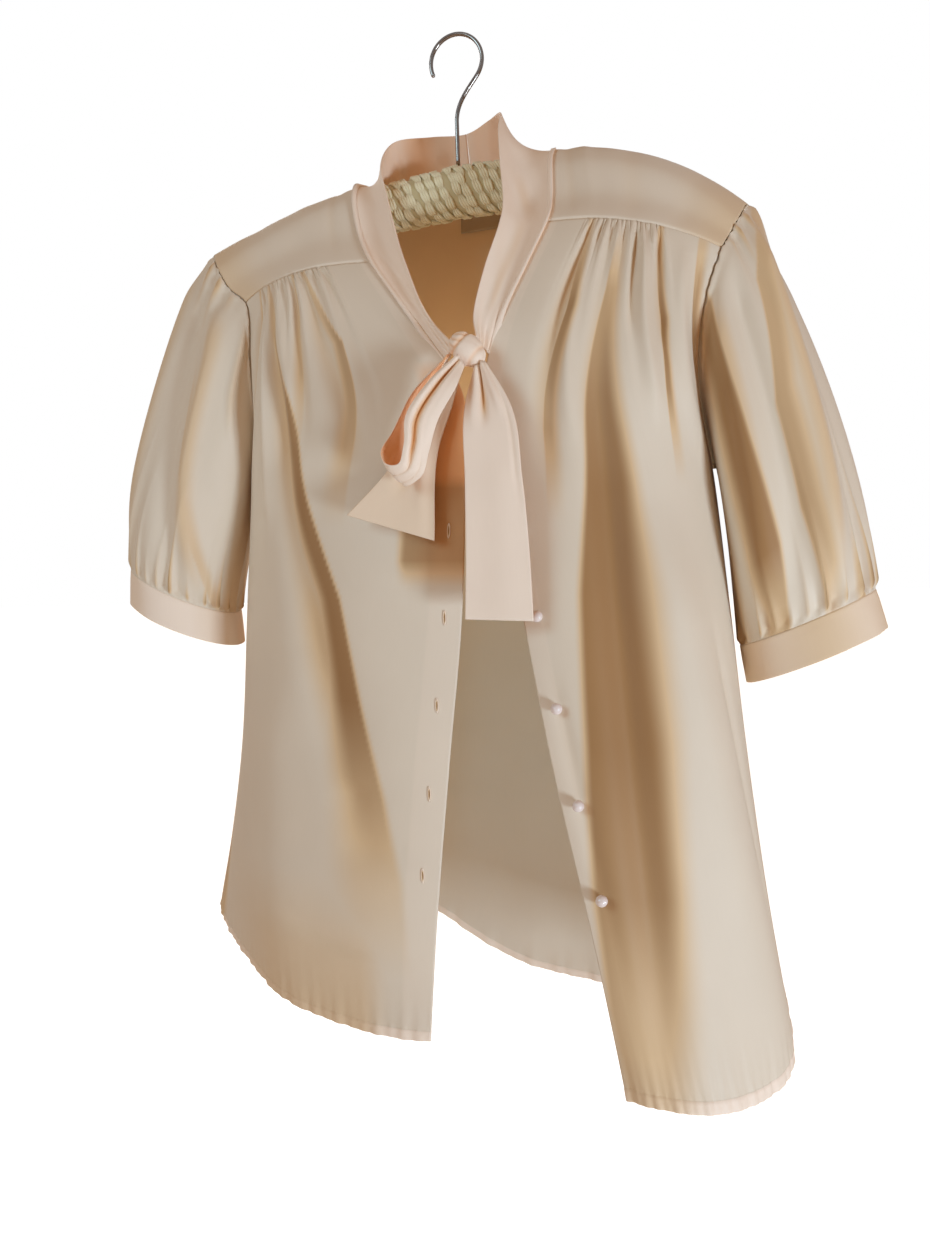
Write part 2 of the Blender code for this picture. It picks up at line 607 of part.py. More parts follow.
def add_collar_and_tie(finish, collection):
    """The collar's two halves with a seam behind the neck, the loop, the tails and the knot."""
    stations = np.arange(0, COLLAR_MIDDLE + 1e-6, 0.5 / (len(COLLAR) - 1))
    halves = {
        "right": (*stations[:-1], COLLAR_MIDDLE - HALF_SEAM),
        "left": (*(1 - stations[:-1]), COLLAR_MIDDLE + HALF_SEAM),
    }
    for name, rows in halves.items():
        cloth("collar_" + name, collar_surface, COLLAR_GRID_COLUMNS, rows, DOUBLE_CLOTH, finish, collection)
    cloth(
        "tie_loop", lambda c, t: ribbon(TIE_LOOP, 2 * c - 1, t, LOOP_GROOVE_DEPTH),
        10, LOOP_ROWS, DOUBLE_CLOTH, finish, collection,
    )
    tails = {"tie_tail_right": TIE_TAIL_RIGHT, "tie_tail_left": TIE_TAIL_LEFT}
    for name, table in tails.items():
        cloth(
            name, lambda c, t: ribbon(table, 2 * c - 1, t),
            4, TAIL_ROWS, DOUBLE_CLOTH, finish, collection,
        )
    mesh = bpy.data.meshes.new("tie_knot")
    work = bmesh.new()
    bmesh.ops.create_uvsphere(work, u_segments=16, v_segments=10, radius=1)
    place = (
        mathutils.Matrix.Translation(mathutils.Vector(KNOT_CENTRE) * MM)
        @ mathutils.Matrix.Rotation(KNOT_TILT, 4, "Y")
        @ mathutils.Matrix.Diagonal((*[size * MM for size in KNOT_HALF_SIZES], 1))
    )
    bmesh.ops.transform(work, matrix=place, verts=work.verts)
    work.to_mesh(mesh)
    work.free()
    add_object("tie_knot", mesh, finish, collection)


def add_label(finish, collection):
    """The blank label inside the back of the neck, made of the back's points moved inwards."""
    inwards = CLOTH / 2 + LABEL_THICKNESS / 2 + LABEL_GAP

    def place(c, t):
        w = LABEL_ACROSS[0] + (LABEL_ACROSS[1] - LABEL_ACROSS[0]) * c
        v = LABEL_DOWN[0] + (LABEL_DOWN[1] - LABEL_DOWN[0]) * t
        return lifted(back_surface, w, v, np.full_like(w, -inwards), 1)

    cloth("neck_label", place, 3, (0.0, 0.5, 1.0), LABEL_THICKNESS, finish, collection)


def add_buttons(finish, collection):
    """Five ball buttons on short shanks along the left front's edge."""
    base = SHANK_SEAT
    middle = base + SHANK_LENGTH + math.sqrt(BUTTON_RADIUS**2 - SHANK_RADIUS**2)
    turns = np.linspace(0, math.pi - math.asin(SHANK_RADIUS / BUTTON_RADIUS), BALL_STEPS)
    ball = [(BUTTON_RADIUS * math.sin(a), middle + BUTTON_RADIUS * math.cos(a)) for a in turns]
    profile = [*ball, (SHANK_RADIUS, base), (0.0, base)]
    for number, level in enumerate(BUTTON_LEVELS, 1):
        mesh = bpy.data.meshes.new("button_" + str(number))
        points = [(radius * MM, 0, height * MM) for radius, height in profile]
        mesh.from_pydata(points, [(i, i + 1) for i in range(len(points) - 1)], [])
        piece = add_object("button_" + str(number), mesh, finish, collection)
        turned = piece.modifiers.new("turned", "SCREW")
        turned.steps = BUTTON_SIDES
        turned.render_steps = BUTTON_SIDES
        turned.use_merge_vertices = True
        turned.merge_threshold = 1e-5
        v = np.array([level])
        edge = panel(FRONT_LEFT, np.array([1.0]), v)[0]
        near = panel(FRONT_LEFT, np.array([NEAR_EDGE]), v)[0]
        u = np.array([1 - (1 - NEAR_EDGE) * BUTTON_INSET / np.linalg.norm(edge - near)])
        seat = lifted(lambda a, b: panel(FRONT_LEFT, a, b), u, v, np.array([0.0]), 1)[0]
        top = lifted(lambda a, b: panel(FRONT_LEFT, a, b), u, v, np.array([1.0]), 1)[0]
        normal = mathutils.Vector(top - seat)
        piece.location = (mathutils.Vector(seat) + normal * CLOTH / 2) * MM
        piece.rotation_euler = normal.to_track_quat("Z", "Y").to_euler()


def ridge_height(x):
    """The height of the shoulders' ridge above x, level between the neck's two sides."""
    t = np.linspace(0, 1, 60)
    level = np.full_like(t, 0.021)
    left = panel(FRONT_LEFT, t[::-1], level)
    right = panel(FRONT_RIGHT, t, level)
    line = np.concatenate([right[:, [0, 2]], BAR_NECK_LINE, left[:, [0, 2]]])
    return np.interp(x, line[:, 0], line[:, 1])


def add_hanger(wire, yarn, collection):
    """The wire hook and the bar in its crochet cover, which the shoulders rest on."""
    curve = bpy.data.curves.new("hanger_hook", "CURVE")
    curve.dimensions = "3D"
    curve.bevel_depth = WIRE_DIAMETER / 2 * MM
    curve.bevel_resolution = 2
    curve.use_fill_caps = True
    radius = HOOK_INNER_RADIUS + WIRE_DIAMETER / 2
    angles = np.linspace(HOOK_TIP, HOOK_TURN_OFF, HOOK_STEPS)
    ring = np.stack([radius * np.cos(angles), -HOOK_INNER_RADIUS + radius * np.sin(angles)], -1)
    heading = np.array([math.sin(HOOK_TURN_OFF), -math.cos(HOOK_TURN_OFF)])
    stem = np.array(STEM_TOP)
    steps = np.linspace(0, 1, BEND_STEPS)[1:]
    bend = bezier(ring[-1], ring[-1] + heading * BEND_HANDLES[0], stem + (0, BEND_HANDLES[1]), stem, steps)
    foot = ridge_height(STEM_TOP[0]) - BAR_CLEARANCE + STEM_FOOT_GAP
    line = np.concatenate([ring, bend, [[STEM_TOP[0], foot]]])
    spline_data = curve.splines.new("POLY")
    spline_data.points.add(len(line) - 1)
    for point, (x, z) in zip(spline_data.points, line):
        point.co = (x * MM, 0, z * MM, 1)
    add_object("hanger_hook", curve, wire, collection)

    stitched = np.arange(-STITCHED_HALF_LENGTH, STITCHED_HALF_LENGTH + 1, STITCH_PITCH / 2)
    plain = np.linspace(BAR[0][0], -STITCHED_HALF_LENGTH - STITCH_PITCH, PLAIN_STATIONS)
    stations = np.concatenate([plain, stitched, -plain[::-1]])

    def place(c, v):
        x = stations[np.rint(v * (len(stations) - 1)).astype(int)]
        half = spline(BAR, x)[..., 0]
        turn = 2 * math.pi * c
        inner = np.abs(x) <= STITCHED_HALF_LENGTH
        column = np.rint((x + STITCHED_HALF_LENGTH) / (STITCH_PITCH / 2))
        facet = np.rint(c * BAR_SIDES)
        raised = np.where((column + facet) % 2 == 0, -STITCH_HEIGHT, 0.0) * inner
        top = ridge_height(x) - BAR_CLEARANCE
        y = BAR_DEPTH_SHARE * (half + raised) * np.sin(turn)
        z = top - half + (half + raised) * np.cos(turn)
        return np.stack([x, y, z], -1)

    rows = len(stations) - 1
    work = bmesh.new()
    bmesh.ops.create_grid(work, x_segments=BAR_SIDES, y_segments=rows, size=0.5)
    flat = np.array([vertex.co[:2] for vertex in work.verts]) + 0.5
    placed = place(flat[:, 0], flat[:, 1]) * MM
    for vertex, point in zip(work.verts, placed):
        vertex.co = point
    bmesh.ops.remove_doubles(work, verts=work.verts, dist=1e-6)
    bmesh.ops.holes_fill(work, edges=work.edges)
    bmesh.ops.recalc_face_normals(work, faces=work.faces)
    mesh = bpy.data.meshes.new("hanger_bar")
    work.to_mesh(mesh)
    work.free()
    add_object("hanger_bar", mesh, yarn, collection)


def main():
    for old in list(bpy.data.objects):
        bpy.data.objects.remove(old)
    collection = bpy.data.collections.new("tie_neck_blouse")
    bpy.context.scene.collection.children.link(collection)
    crepe = material("peach crepe", (0.80, 0.66, 0.50), 0.75)
    add_fronts(crepe, collection)
    add_back(crepe, collection)
    add_sleeves(crepe, collection)
    add_collar_and_tie(crepe, collection)
    add_label(material("label tape", (0.62, 0.55, 0.45), 0.7), collection)
    add_buttons(material("button shell", (0.85, 0.70, 0.64), 0.35), collection)
    wire = material("polished wire", (0.75, 0.75, 0.76), 0.2, 1.0)
    add_hanger(wire, material("crochet yarn", (0.82, 0.78, 0.58), 0.95), collection)


main()
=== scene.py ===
"""The looks of the tie neck blouse on its hanger with a crochet cover.

Sizes and tables are in millimetres, in the part's own frame: the origin is the inner top
of the hook, +Z is up, -Y is the blouse's front and +X is the wearer's left. Every piece is
a surface worked out on a grid of two parameters and written into its mesh as it hangs.
"""

import math

import bpy
import mathutils
import numpy as np
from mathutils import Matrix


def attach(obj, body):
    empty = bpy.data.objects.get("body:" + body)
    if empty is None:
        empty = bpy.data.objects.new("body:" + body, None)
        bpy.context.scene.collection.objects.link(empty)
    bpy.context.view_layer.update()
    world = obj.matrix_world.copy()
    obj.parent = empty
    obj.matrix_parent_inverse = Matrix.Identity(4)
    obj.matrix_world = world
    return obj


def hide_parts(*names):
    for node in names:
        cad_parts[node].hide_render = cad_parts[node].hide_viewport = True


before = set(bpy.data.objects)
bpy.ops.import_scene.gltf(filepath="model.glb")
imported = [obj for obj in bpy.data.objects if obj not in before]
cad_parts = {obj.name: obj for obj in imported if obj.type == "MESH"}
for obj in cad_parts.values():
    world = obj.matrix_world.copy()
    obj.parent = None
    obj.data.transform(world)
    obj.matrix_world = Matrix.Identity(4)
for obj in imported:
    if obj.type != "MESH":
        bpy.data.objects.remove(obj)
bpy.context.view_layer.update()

MM = 0.001
TURN = 2 * math.pi

# Cloth walls, seams and hems
SINGLE = 0.6
DOUBLE = 1.3
SEAM_GAP = 0.5
COLLAR_GAP = 1.1
ANGLED_SEAM_GAP = 1.1
UNDERARM_GAP = 2.0
ALLOWANCE = 4.0
HEM_DEPTH = 9.0
PLACKET_WIDTH = 24.0
PANEL_LENGTH = 655.0
PANEL_WIDTH = 300.0
LINES_AT_SEAM = np.array([0.15, 0.4, 0.8, 1.4, 2.2, 3.2, 4.5, 6, 8, 10, 13]) / PANEL_LENGTH
LINES_AT_HEM = np.array([0.3, 1, 3, 6, 8.4, 9.0, 9.3, 10.5, 13]) / PANEL_LENGTH

# Each front from the shoulder seam to the hem. The side point a and the edge point b are
# joined by a Bezier curve whose handles are p and q: v, a, p, q, b.
FRONT_LEFT = (
    (0.000, 212, 12, -156, 168, 13, -116, 118, 12, -102, 71, 12, -102),
    (0.021, 211, 0, -150, 167, 0, -110, 118, 0, -95, 71, 0, -95),
    (0.060, 205, -20, -163, 165, -22, -122, 118, -22, -108, 73, -20, -109),
    (0.105, 198, -28, -177, 160, -34, -150, 118, -36, -139, 75, -36, -141),
    (0.140, 193, -35, -187, 158, -46, -168, 112, -53, -160, 74, -50, -161),
    (0.210, 180, -40, -228, 166, -68, -222, 95, -80, -224, 46, -76, -228),
    (0.290, 176, -30, -282, 178, -84, -276, 90, -94, -279, 33, -81, -282),
    (0.370, 184, 0, -335, 186, -80, -330, 100, -100, -335, 42, -87, -342),
    (0.520, 194, 4, -435, 204, -84, -432, 118, -114, -433, 60, -99, -434),
    (0.670, 203, 4, -535, 218, -90, -534, 140, -130, -535, 81, -116, -535),
    (0.820, 214, 4, -632, 232, -96, -636, 160, -147, -638, 106, -134, -635),
    (1.000, 230, 10, -728, 246, -90, -772, 184, -190, -729, 129, -150, -737),
)
FRONT_RIGHT = (
    (0.000, -210, 12, -147, -170, 13, -132, -120, 12, -118, -78, 12, -109),
    (0.021, -209, 0, -141, -168, 0, -125, -120, 0, -111, -77, 0, -103),
    (0.060, -197, -20, -156, -160, -22, -137, -118, -22, -123, -78, -20, -115),
    (0.105, -182, -28, -177, -150, -36, -162, -108, -38, -150, -69, -35, -150),
    (0.140, -166, -35, -190, -140, -47, -176, -96, -54, -172, -56, -50, -175),
    (0.210, -162, -38, -235, -152, -64, -228, -75, -78, -228, -14, -73, -230),
    (0.290, -165, -26, -285, -166, -80, -280, -60, -92, -281, 19, -82, -282),
    (0.370, -180, 2, -335, -184, -56, -332, -70, -100, -335, 19, -85, -340),
    (0.520, -194, 10, -435, -192, -48, -433, -90, -108, -433, 16, -93, -434),
    (0.670, -210, 18, -535, -198, -38, -536, -105, -114, -535, 6, -101, -535),
    (0.820, -231, 24, -628, -208, -30, -636, -114, -118, -634, -4, -106, -634),
    (1.000, -250, 30, -697, -212, -25, -718, -110, -102, -742, -12, -110, -732),
)
YOKE_END = 0.140
FRONT_SIDE = 0.0026
BACK_SIDE = 0.996
UNDERARM = 0.370

# Gathers below each yoke seam: where they lie on the seam, how many large ones, how deep
# they are and how far down they run. Several small puckers stand on each large one. The
# fades say how fast the fan, the gathers and the puckers die out below the seam.
GATHERS_LEFT = (0.305, 0.774, 8, 2.2, 0.050)
GATHERS_RIGHT = (0.130, 0.750, 8, 2.2, 0.050)
GATHER_SHARE = (0.17, 0.83)
PUCKERS_PER_GATHER = 2.3
PUCKER_DEPTH = 2.25
FAN_FADE = 0.8
GATHER_FADE = 0.9
PUCKER_FADE = 3.2

# Folds: u at the top and the bottom, v at the start and the end, the width at the top and
# the bottom, and the height, positive for a ridge and negative for a trough.
FOLDS_LEFT = (
    (0.72, 0.80, 0.145, 0.40, 0.035, 0.050, -4.5),
    (0.53, 0.86, 0.150, 1.10, 0.050, 0.085, -9.0),
    (0.41, 0.36, 0.145, 0.34, 0.028, 0.040, 4.5),
    (0.35, 0.28, 0.145, 0.28, 0.022, 0.035, -4.0),
    (0.21, 0.17, 0.150, 0.40, 0.040, 0.060, 3.5),
    (0.09, 0.04, 0.150, 0.30, 0.030, 0.040, -3.0),
    (0.48, 0.26, 0.400, 1.15, 0.110, 0.150, 8.0),
    (0.66, 0.70, 0.145, 0.36, 0.022, 0.032, 2.6),
    (0.46, 0.44, 0.148, 0.26, 0.014, 0.022, -2.0),
    (0.30, 0.16, 0.520, 0.98, 0.030, 0.040, -2.6),
    (0.93, 0.90, 0.560, 0.92, 0.030, 0.040, -1.4),
)
FOLDS_RIGHT = (
    (0.26, 0.84, 0.145, 0.78, 0.040, 0.080, -6.5),
    (0.36, 0.62, 0.150, 0.55, 0.035, 0.060, 4.0),
    (0.46, 0.51, 0.145, 0.38, 0.028, 0.045, -3.5),
    (0.55, 0.71, 0.145, 0.40, 0.030, 0.050, -4.0),
    (0.18, 0.09, 0.150, 0.36, 0.035, 0.050, -4.0),
    (0.45, 0.60, 0.550, 1.20, 0.120, 0.150, 6.0),
    (0.21, 0.40, 0.148, 0.46, 0.018, 0.030, 2.2),
    (0.40, 0.44, 0.146, 0.26, 0.014, 0.022, -1.8),
    (0.76, 0.84, 0.690, 0.80, 0.045, 0.060, -3.0),
    (0.60, 0.82, 0.860, 0.90, 0.060, 0.080, -1.6),
)
FOLDS_BACK = (
    (-0.36, -0.46, 0.10, 1.10, 0.070, 0.100, -6.0),
    (-0.10, -0.14, 0.25, 1.15, 0.090, 0.120, 5.0),
    (0.26, 0.36, 0.12, 1.10, 0.070, 0.100, -6.0),
    (0.56, 0.62, 0.15, 1.00, 0.060, 0.090, 5.0),
    (-0.62, -0.70, 0.12, 0.90, 0.040, 0.060, 3.0),
    (-0.22, -0.27, 0.08, 0.62, 0.030, 0.045, 2.4),
    (0.08, 0.14, 0.30, 1.05, 0.040, 0.060, -2.8),
    (0.44, 0.47, 0.10, 0.70, 0.030, 0.045, -2.2),
    (0.74, 0.80, 0.12, 0.95, 0.035, 0.050, -2.6),
)
FOLDS_YOKE_LEFT = (
    (0.94, 0.86, -0.02, 0.15, 0.030, 0.035, -0.8),
    (0.86, 0.74, -0.02, 0.15, 0.030, 0.040, 0.7),
    (0.60, 0.50, 0.02, 0.16, 0.070, 0.070, -0.7),
    (0.20, 0.28, 0.02, 0.16, 0.060, 0.060, -0.6),
)
FOLDS_YOKE_RIGHT = (
    (0.90, 0.78, -0.02, 0.15, 0.035, 0.040, -0.8),
    (0.62, 0.70, 0.00, 0.16, 0.070, 0.080, 0.6),
    (0.30, 0.36, 0.00, 0.16, 0.070, 0.070, -0.7),
)

# The painted shade on the shaded sides of the big folds, on a few more patches, and on the
# right front the tie's painted shadow: v, the crisp side, where the deep part ends, where it
# has faded out, and its strength.
SHADES_LEFT = (
    (
        (0.15, 0.565, 0.540, 0.50, 0.0), (0.20, 0.570, 0.535, 0.48, 0.7), (0.30, 0.640, 0.550, 0.47, 0.9),
        (0.39, 0.705, 0.560, 0.47, 1.0), (0.50, 0.800, 0.610, 0.46, 1.0), (0.65, 0.890, 0.640, 0.49, 1.0),
        (0.79, 0.985, 0.700, 0.56, 0.9), (0.90, 1.020, 0.780, 0.60, 0.6), (1.00, 1.020, 0.860, 0.66, 0.4),
    ),
    (
        (0.145, 0.740, 0.72, 0.68, 0.3), (0.21, 0.715, 0.69, 0.65, 0.9), (0.33, 0.800, 0.77, 0.72, 0.7),
        (0.42, 0.840, 0.81, 0.76, 0.0),
    ),
    (
        (0.145, 0.365, 0.345, 0.32, 0.5), (0.23, 0.300, 0.280, 0.25, 1.0), (0.30, 0.320, 0.300, 0.26, 0.9),
        (0.39, 0.350, 0.320, 0.28, 0.0),
    ),
    (
        (0.145, 0.140, 0.10, 0.05, 0.4), (0.24, 0.095, 0.05, -0.02, 1.0), (0.39, 0.110, 0.05, -0.04, 0.9),
        (0.52, 0.080, 0.02, -0.05, 0.0),
    ),
)
SHADES_RIGHT = (
    (
        (0.15, 0.275, 0.262, 0.24, 0.3), (0.195, 0.335, 0.310, 0.27, 0.6), (0.28, 0.455, 0.420, 0.36, 0.9),
        (0.39, 0.565, 0.520, 0.45, 1.0), (0.50, 0.700, 0.655, 0.58, 1.0), (0.61, 0.785, 0.720, 0.63, 1.0),
        (0.71, 0.870, 0.790, 0.68, 0.7), (0.80, 0.930, 0.820, 0.70, 0.35), (0.92, 0.960, 0.860, 0.74, 0.0),
    ),
    ((0.145, 0.475, 0.465, 0.44, 0.4), (0.25, 0.495, 0.480, 0.45, 0.6), (0.34, 0.505, 0.490, 0.46, 0.0)),
    (
        (0.145, 0.560, 0.545, 0.51, 0.4), (0.22, 0.690, 0.670, 0.62, 0.8), (0.33, 0.690, 0.660, 0.60, 0.6),
        (0.42, 0.690, 0.650, 0.58, 0.0),
    ),
    ((0.80, 0.90, 0.60, 0.10, 0.0), (0.90, 0.90, 0.60, 0.10, 0.30), (1.00, 0.90, 0.60, 0.10, 0.40)),
    (
        (0.30, 1.02, 0.880, 0.82, 0.0), (0.36, 1.02, 0.860, 0.82, 0.9), (0.46, 1.02, 0.860, 0.83, 0.9),
        (0.49, 1.02, 0.880, 0.84, 0.0),
    ),
    (
        (0.45, -0.02, 0.02, 0.06, 0.0), (0.60, -0.02, 0.03, 0.08, 0.5), (0.80, -0.02, 0.05, 0.11, 0.9),
        (1.00, -0.02, 0.06, 0.14, 0.5),
    ),
    ((0.145, 0.190, 0.175, 0.15, 0.5), (0.32, 0.140, 0.120, 0.09, 0.6), (0.42, 0.130, 0.110, 0.08, 0.0)),
)
# Painted light where light comes through the tie onto the right front, stated like the shades.
GLOWS_RIGHT = (
    (
        (0.250, 1.02, 0.925, 0.875, 0.0), (0.280, 1.02, 0.920, 0.870, 0.9), (0.330, 1.02, 0.920, 0.870, 1.0),
        (0.368, 1.02, 0.930, 0.880, 0.9), (0.380, 1.02, 0.950, 0.880, 0.3), (0.470, 1.02, 0.950, 0.860, 0.25),
        (0.490, 1.02, 0.960, 0.860, 0.0),
    ),
)
# The sleeves' painted shades, with w round the sleeve for u and t down it for v.
SLEEVE_SHADES_LEFT = (
    (
        (0.01, 0.245, 0.200, 0.12, 0.6), (0.07, 0.240, 0.190, 0.11, 0.9), (0.28, 0.228, 0.170, 0.09, 1.0),
        (0.44, 0.224, 0.165, 0.09, 1.0), (0.72, 0.222, 0.170, 0.10, 1.0), (0.90, 0.210, 0.170, 0.12, 0.6),
    ),
    (
        (0.02, 0.460, 0.500, 0.58, 0.4), (0.20, 0.345, 0.380, 0.45, 0.6), (0.46, 0.278, 0.305, 0.36, 0.7),
        (0.69, 0.268, 0.290, 0.345, 0.75), (0.85, 0.275, 0.300, 0.35, 0.6), (0.97, 0.280, 0.300, 0.34, 0.3),
    ),
    ((0.10, -0.05, 0.04, 0.10, 0.5), (0.90, -0.05, 0.04, 0.10, 0.9)),
    ((0.80, 0.400, 0.385, 0.36, 0.0), (0.90, 0.400, 0.385, 0.36, 0.7), (0.99, 0.400, 0.385, 0.36, 0.6)),
)
SLEEVE_SHADES_RIGHT = (
    (
        (0.30, 0.350, 0.335, 0.30, 0.0), (0.40, 0.320, 0.300, 0.26, 0.3), (0.60, 0.235, 0.215, 0.17, 0.4),
        (0.80, 0.150, 0.130, 0.09, 0.4), (1.00, 0.090, 0.070, 0.03, 0.3),
    ),
    ((0.10, -0.02, 0.03, 0.07, 0.3), (0.90, -0.02, 0.03, 0.07, 0.4)),
)

# The middle of the back from the underarm level to the hem.
BACK_MIDDLE = (
    (0.370, -4, 60, -338),
    (0.520, -8, 66, -436),
    (0.670, -16, 76, -537),
    (0.820, -28, 88, -628),
    (1.000, -42, 102, -716),
)
BACK_SQUARENESS = 0.62
BACK_SHOULDER_SHARE = 5 / 12
BACK_WIDTH = 560.0
ARMHOLE_IN = 14.0
ARMHOLE_BACK = 24.0
ARMHOLE_NARROWNESS = 5

# How far the back's hem dips below its middle line at w, growing from BACK_DIP_START on.
BACK_DIP_START = 0.70
BACK_DIP = (
    (-1.00, 0), (-0.60, 0), (-0.30, 0), (-0.15, 0), (-0.06, 4), (0.00, 18), (0.06, 33),
    (0.12, 43), (0.20, 48), (0.30, 50), (0.50, 48), (0.70, 38), (0.85, 22), (1.00, 0),
)

# The back of the neck, from the right shoulder to the left one.
BACK_NECK = (
    (-1.00, -78, 12, -109),
    (-0.62, -58, 29, -108),
    (-0.30, -30, 41, -104),
    (0.00, 0, 44, -102),
    (0.30, 29, 41, -101),
    (0.62, 53, 29, -101),
    (1.00, 71, 12, -102),
)

# The collar from the right end at the knot, round the neck, to the left end. Its seam lies
# on a front's edge at v, or on the back neck; f is its free edge and bow how far its
# middle stands out.
COLLAR = (
    ("right", 0.254, 14.2, -90.6, -248.4, 1),
    ("right", 0.209, -3, -81, -229, 3),
    ("right", 0.175, -14, -73, -210, 5),
    ("right", 0.140, -26, -62, -183, 7),
    ("right", 0.105, -36, -50, -158, 6),
    ("right", 0.060, -47, -36, -125, 6),
    ("right", 0.021, -57, -17, -93, 6),
    ("neck", -0.62, -56, 14, -65, 3),
    ("neck", -0.30, -32, 36, -56, 2),
    ("neck", 0.00, -4, 42, -55, 2),
    ("neck", 0.30, 17, 32, -51, 2),
    ("neck", 0.62, 31, 8, -57, 3),
    ("left", 0.021, 34, -14, -78, 5),
    ("left", 0.060, 38, -30, -108, 6),
    ("left", 0.105, 43, -46, -140, 6),
    ("left", 0.140, 42, -57, -161, 5),
    ("left", 0.175, 34, -70, -192, 4),
    ("left", 0.209, 28, -82, -226, 2),
    ("left", 0.248, 32, -91, -245, 1),
)
FOLDS_COLLAR = (
    (0.62, 0.55, 0.385, 0.48, 0.20, 0.24, 5.0),
    (0.86, 0.90, 0.10, 0.34, 0.10, 0.08, 1.2),
    (0.55, 0.40, 0.70, 0.98, 0.20, 0.16, -0.6),
)
COLLAR_MIDDLE = 9 / 18
HALF_SEAM = 0.0006
COLLAR_WIDTH = 62.0
COLLAR_LENGTH = 620.0
# How far the collar's turned in edge reaches past its seam, and how deep it sinks there.
COLLAR_TUCKS = ((ALLOWANCE, 1.6), (0.8, 1.3))
# Where the shaded curl at the back left lies along the collar, and its half width: the
# collar's inner layer has more painted glow there.
COLLAR_CURL = (0.425, 0.03)

# Each tie piece is a ribbon along a path c, with h its half width vector and bow how far
# its middle stands out: t, c, h, bow.
TIE_LOOP = (
    (0.00, 11, -92, -256, 3, 2, 4, 1),
    (0.14, 4, -99, -268, 3, 4, 2, 4),
    (0.28, -5, -104, -285, 6, 6, 0, 6),
    (0.40, -15, -108, -309, 8, 7, 0, 6),
    (0.46, -21, -111, -325, 9, 8, -3, 4),
    (0.50, -21, -116, -337, 4, 8, -7, 2),
    (0.54, -10, -120, -335, 6, 6, -4, 2),
    (0.60, -4, -123, -322, 7, 5, -2, 2),
    (0.72, 1, -124, -302, 10, 3, -2, 2),
    (0.86, 14, -118, -280, 9, 2, -2, 2),
    (1.00, 24, -106, -263, 2, 1, -4, 1),
)
TIE_TAIL_RIGHT = (
    (0.00, 17, -89, -265, 4, 0, 3, 0),
    (0.25, 2, -90, -294, 12, 0, 7, 0),
    (0.55, -15, -96, -327, 18, 1, 5, 0),
    (1.00, -31, -102, -372, 31, 2, -10, 0),
)
TIE_TAIL_LEFT = (
    (0.00, 35, -98, -265, 4, 0, 2, 0),
    (0.15, 41, -106, -292, 15, 0, 1, 0),
    (0.45, 45.5, -112, -343, 19.5, 0, 0, 0),
    (0.75, 47.5, -115, -395, 21.5, 1, 0, 0),
    (1.00, 48, -118, -436, 23, 1, -1, 0),
)
KNOT_CENTRE = (26, -95, -254)
KNOT_HALF_SIZES = (14.5, 9.5, 10.5)
KNOT_TILT = math.radians(42)
KNOT_POLE = 0.06
KNOT_SIZE = (80, 40)

# Creases on the tie pieces, with u from -1 to 1 across and t along.
FOLDS_LOOP = (
    (-0.30, -0.30, 0.52, 1.12, 0.24, 0.26, -4.6),
    (-0.72, -0.66, 0.50, 1.10, 0.16, 0.18, 0.9),
    (0.30, 0.36, 0.60, 1.10, 0.16, 0.20, -0.3),
    (0.10, 0.00, -0.05, 0.48, 0.22, 0.30, -2.0),
    (-0.10, -0.30, 0.44, 0.60, 0.10, 0.12, -0.9),
    (0.66, 0.40, 0.42, 0.62, 0.12, 0.14, -0.8),
)
FOLDS_TAIL_LEFT = (
    (-0.05, -0.20, -0.15, 0.26, 0.13, 0.18, -4.0),
    (0.45, 0.50, -0.15, 0.24, 0.14, 0.20, 2.2),
    (-0.55, -0.60, -0.10, 0.30, 0.16, 0.22, 1.4),
    (0.20, 0.25, 0.30, 1.20, 0.50, 0.60, 1.4),
    (0.72, 0.80, 0.05, 0.60, 0.07, 0.10, -0.8),
)
FOLDS_TAIL_RIGHT = (
    (0.10, 0.00, -0.15, 0.85, 0.22, 0.30, -3.0),
    (0.60, 0.55, 0.20, 1.20, 0.20, 0.30, 1.6),
    (0.30, 0.62, 0.55, 1.15, 0.12, 0.16, -0.5),
)
# The tie's ribbons: the table, its creases, the side on which a ridge stands out, the flat
# size and its area in square metres, how much painted light lies in the creases and over
# the whole rear layer, and how much painted shade lies over the piece.
RIBBONS = (
    ("tie_loop", TIE_LOOP, FOLDS_LOOP, 1, (34, 170), 0.0046, (0.5, 0.75), 0.0),
    ("tie_tail_right", TIE_TAIL_RIGHT, FOLDS_TAIL_RIGHT, -1, (62, 120), 0.0041, (0.4, 0.3), 0.22),
    ("tie_tail_left", TIE_TAIL_LEFT, FOLDS_TAIL_LEFT, -1, (44, 175), 0.0067, (0.4, 0.3), 0.0),
)

# Cuff rings at the seam: the middle, half width, half depth, rise to the outside and how
# far the cuff leans out to its hem.
CUFF_LEFT = {
    "x": 248.0, "y": -2.0, "z": -444.0, "width": 46.0, "depth": 43.0, "rise": 19.5, "lean": 6.0,
}
CUFF_RIGHT = {
    "x": -249.0, "y": -2.0, "z": -412.5, "width": 44.0, "depth": 43.0, "rise": 20.5, "lean": 0.0,
}
CUFF_DEPTH = 27.0
CUFF_FLARE = 1.5
CUFF_ROUND = 280.0

# The handles of a sleeve's lines at the armhole and at the cuff, outwards and upwards, how
# far they swell to front and back, and what is added to them under the arm.
SLEEVE_LEAVES = (26.0, -30.0)
SLEEVE_ARRIVES = (2.0, 70.0)
SLEEVE_PUFF = (20.0, 14.0)
UNDERARM_LEAVES = (-18.0, -10.0)
UNDERARM_ARRIVES = (-8.0, -30.0)

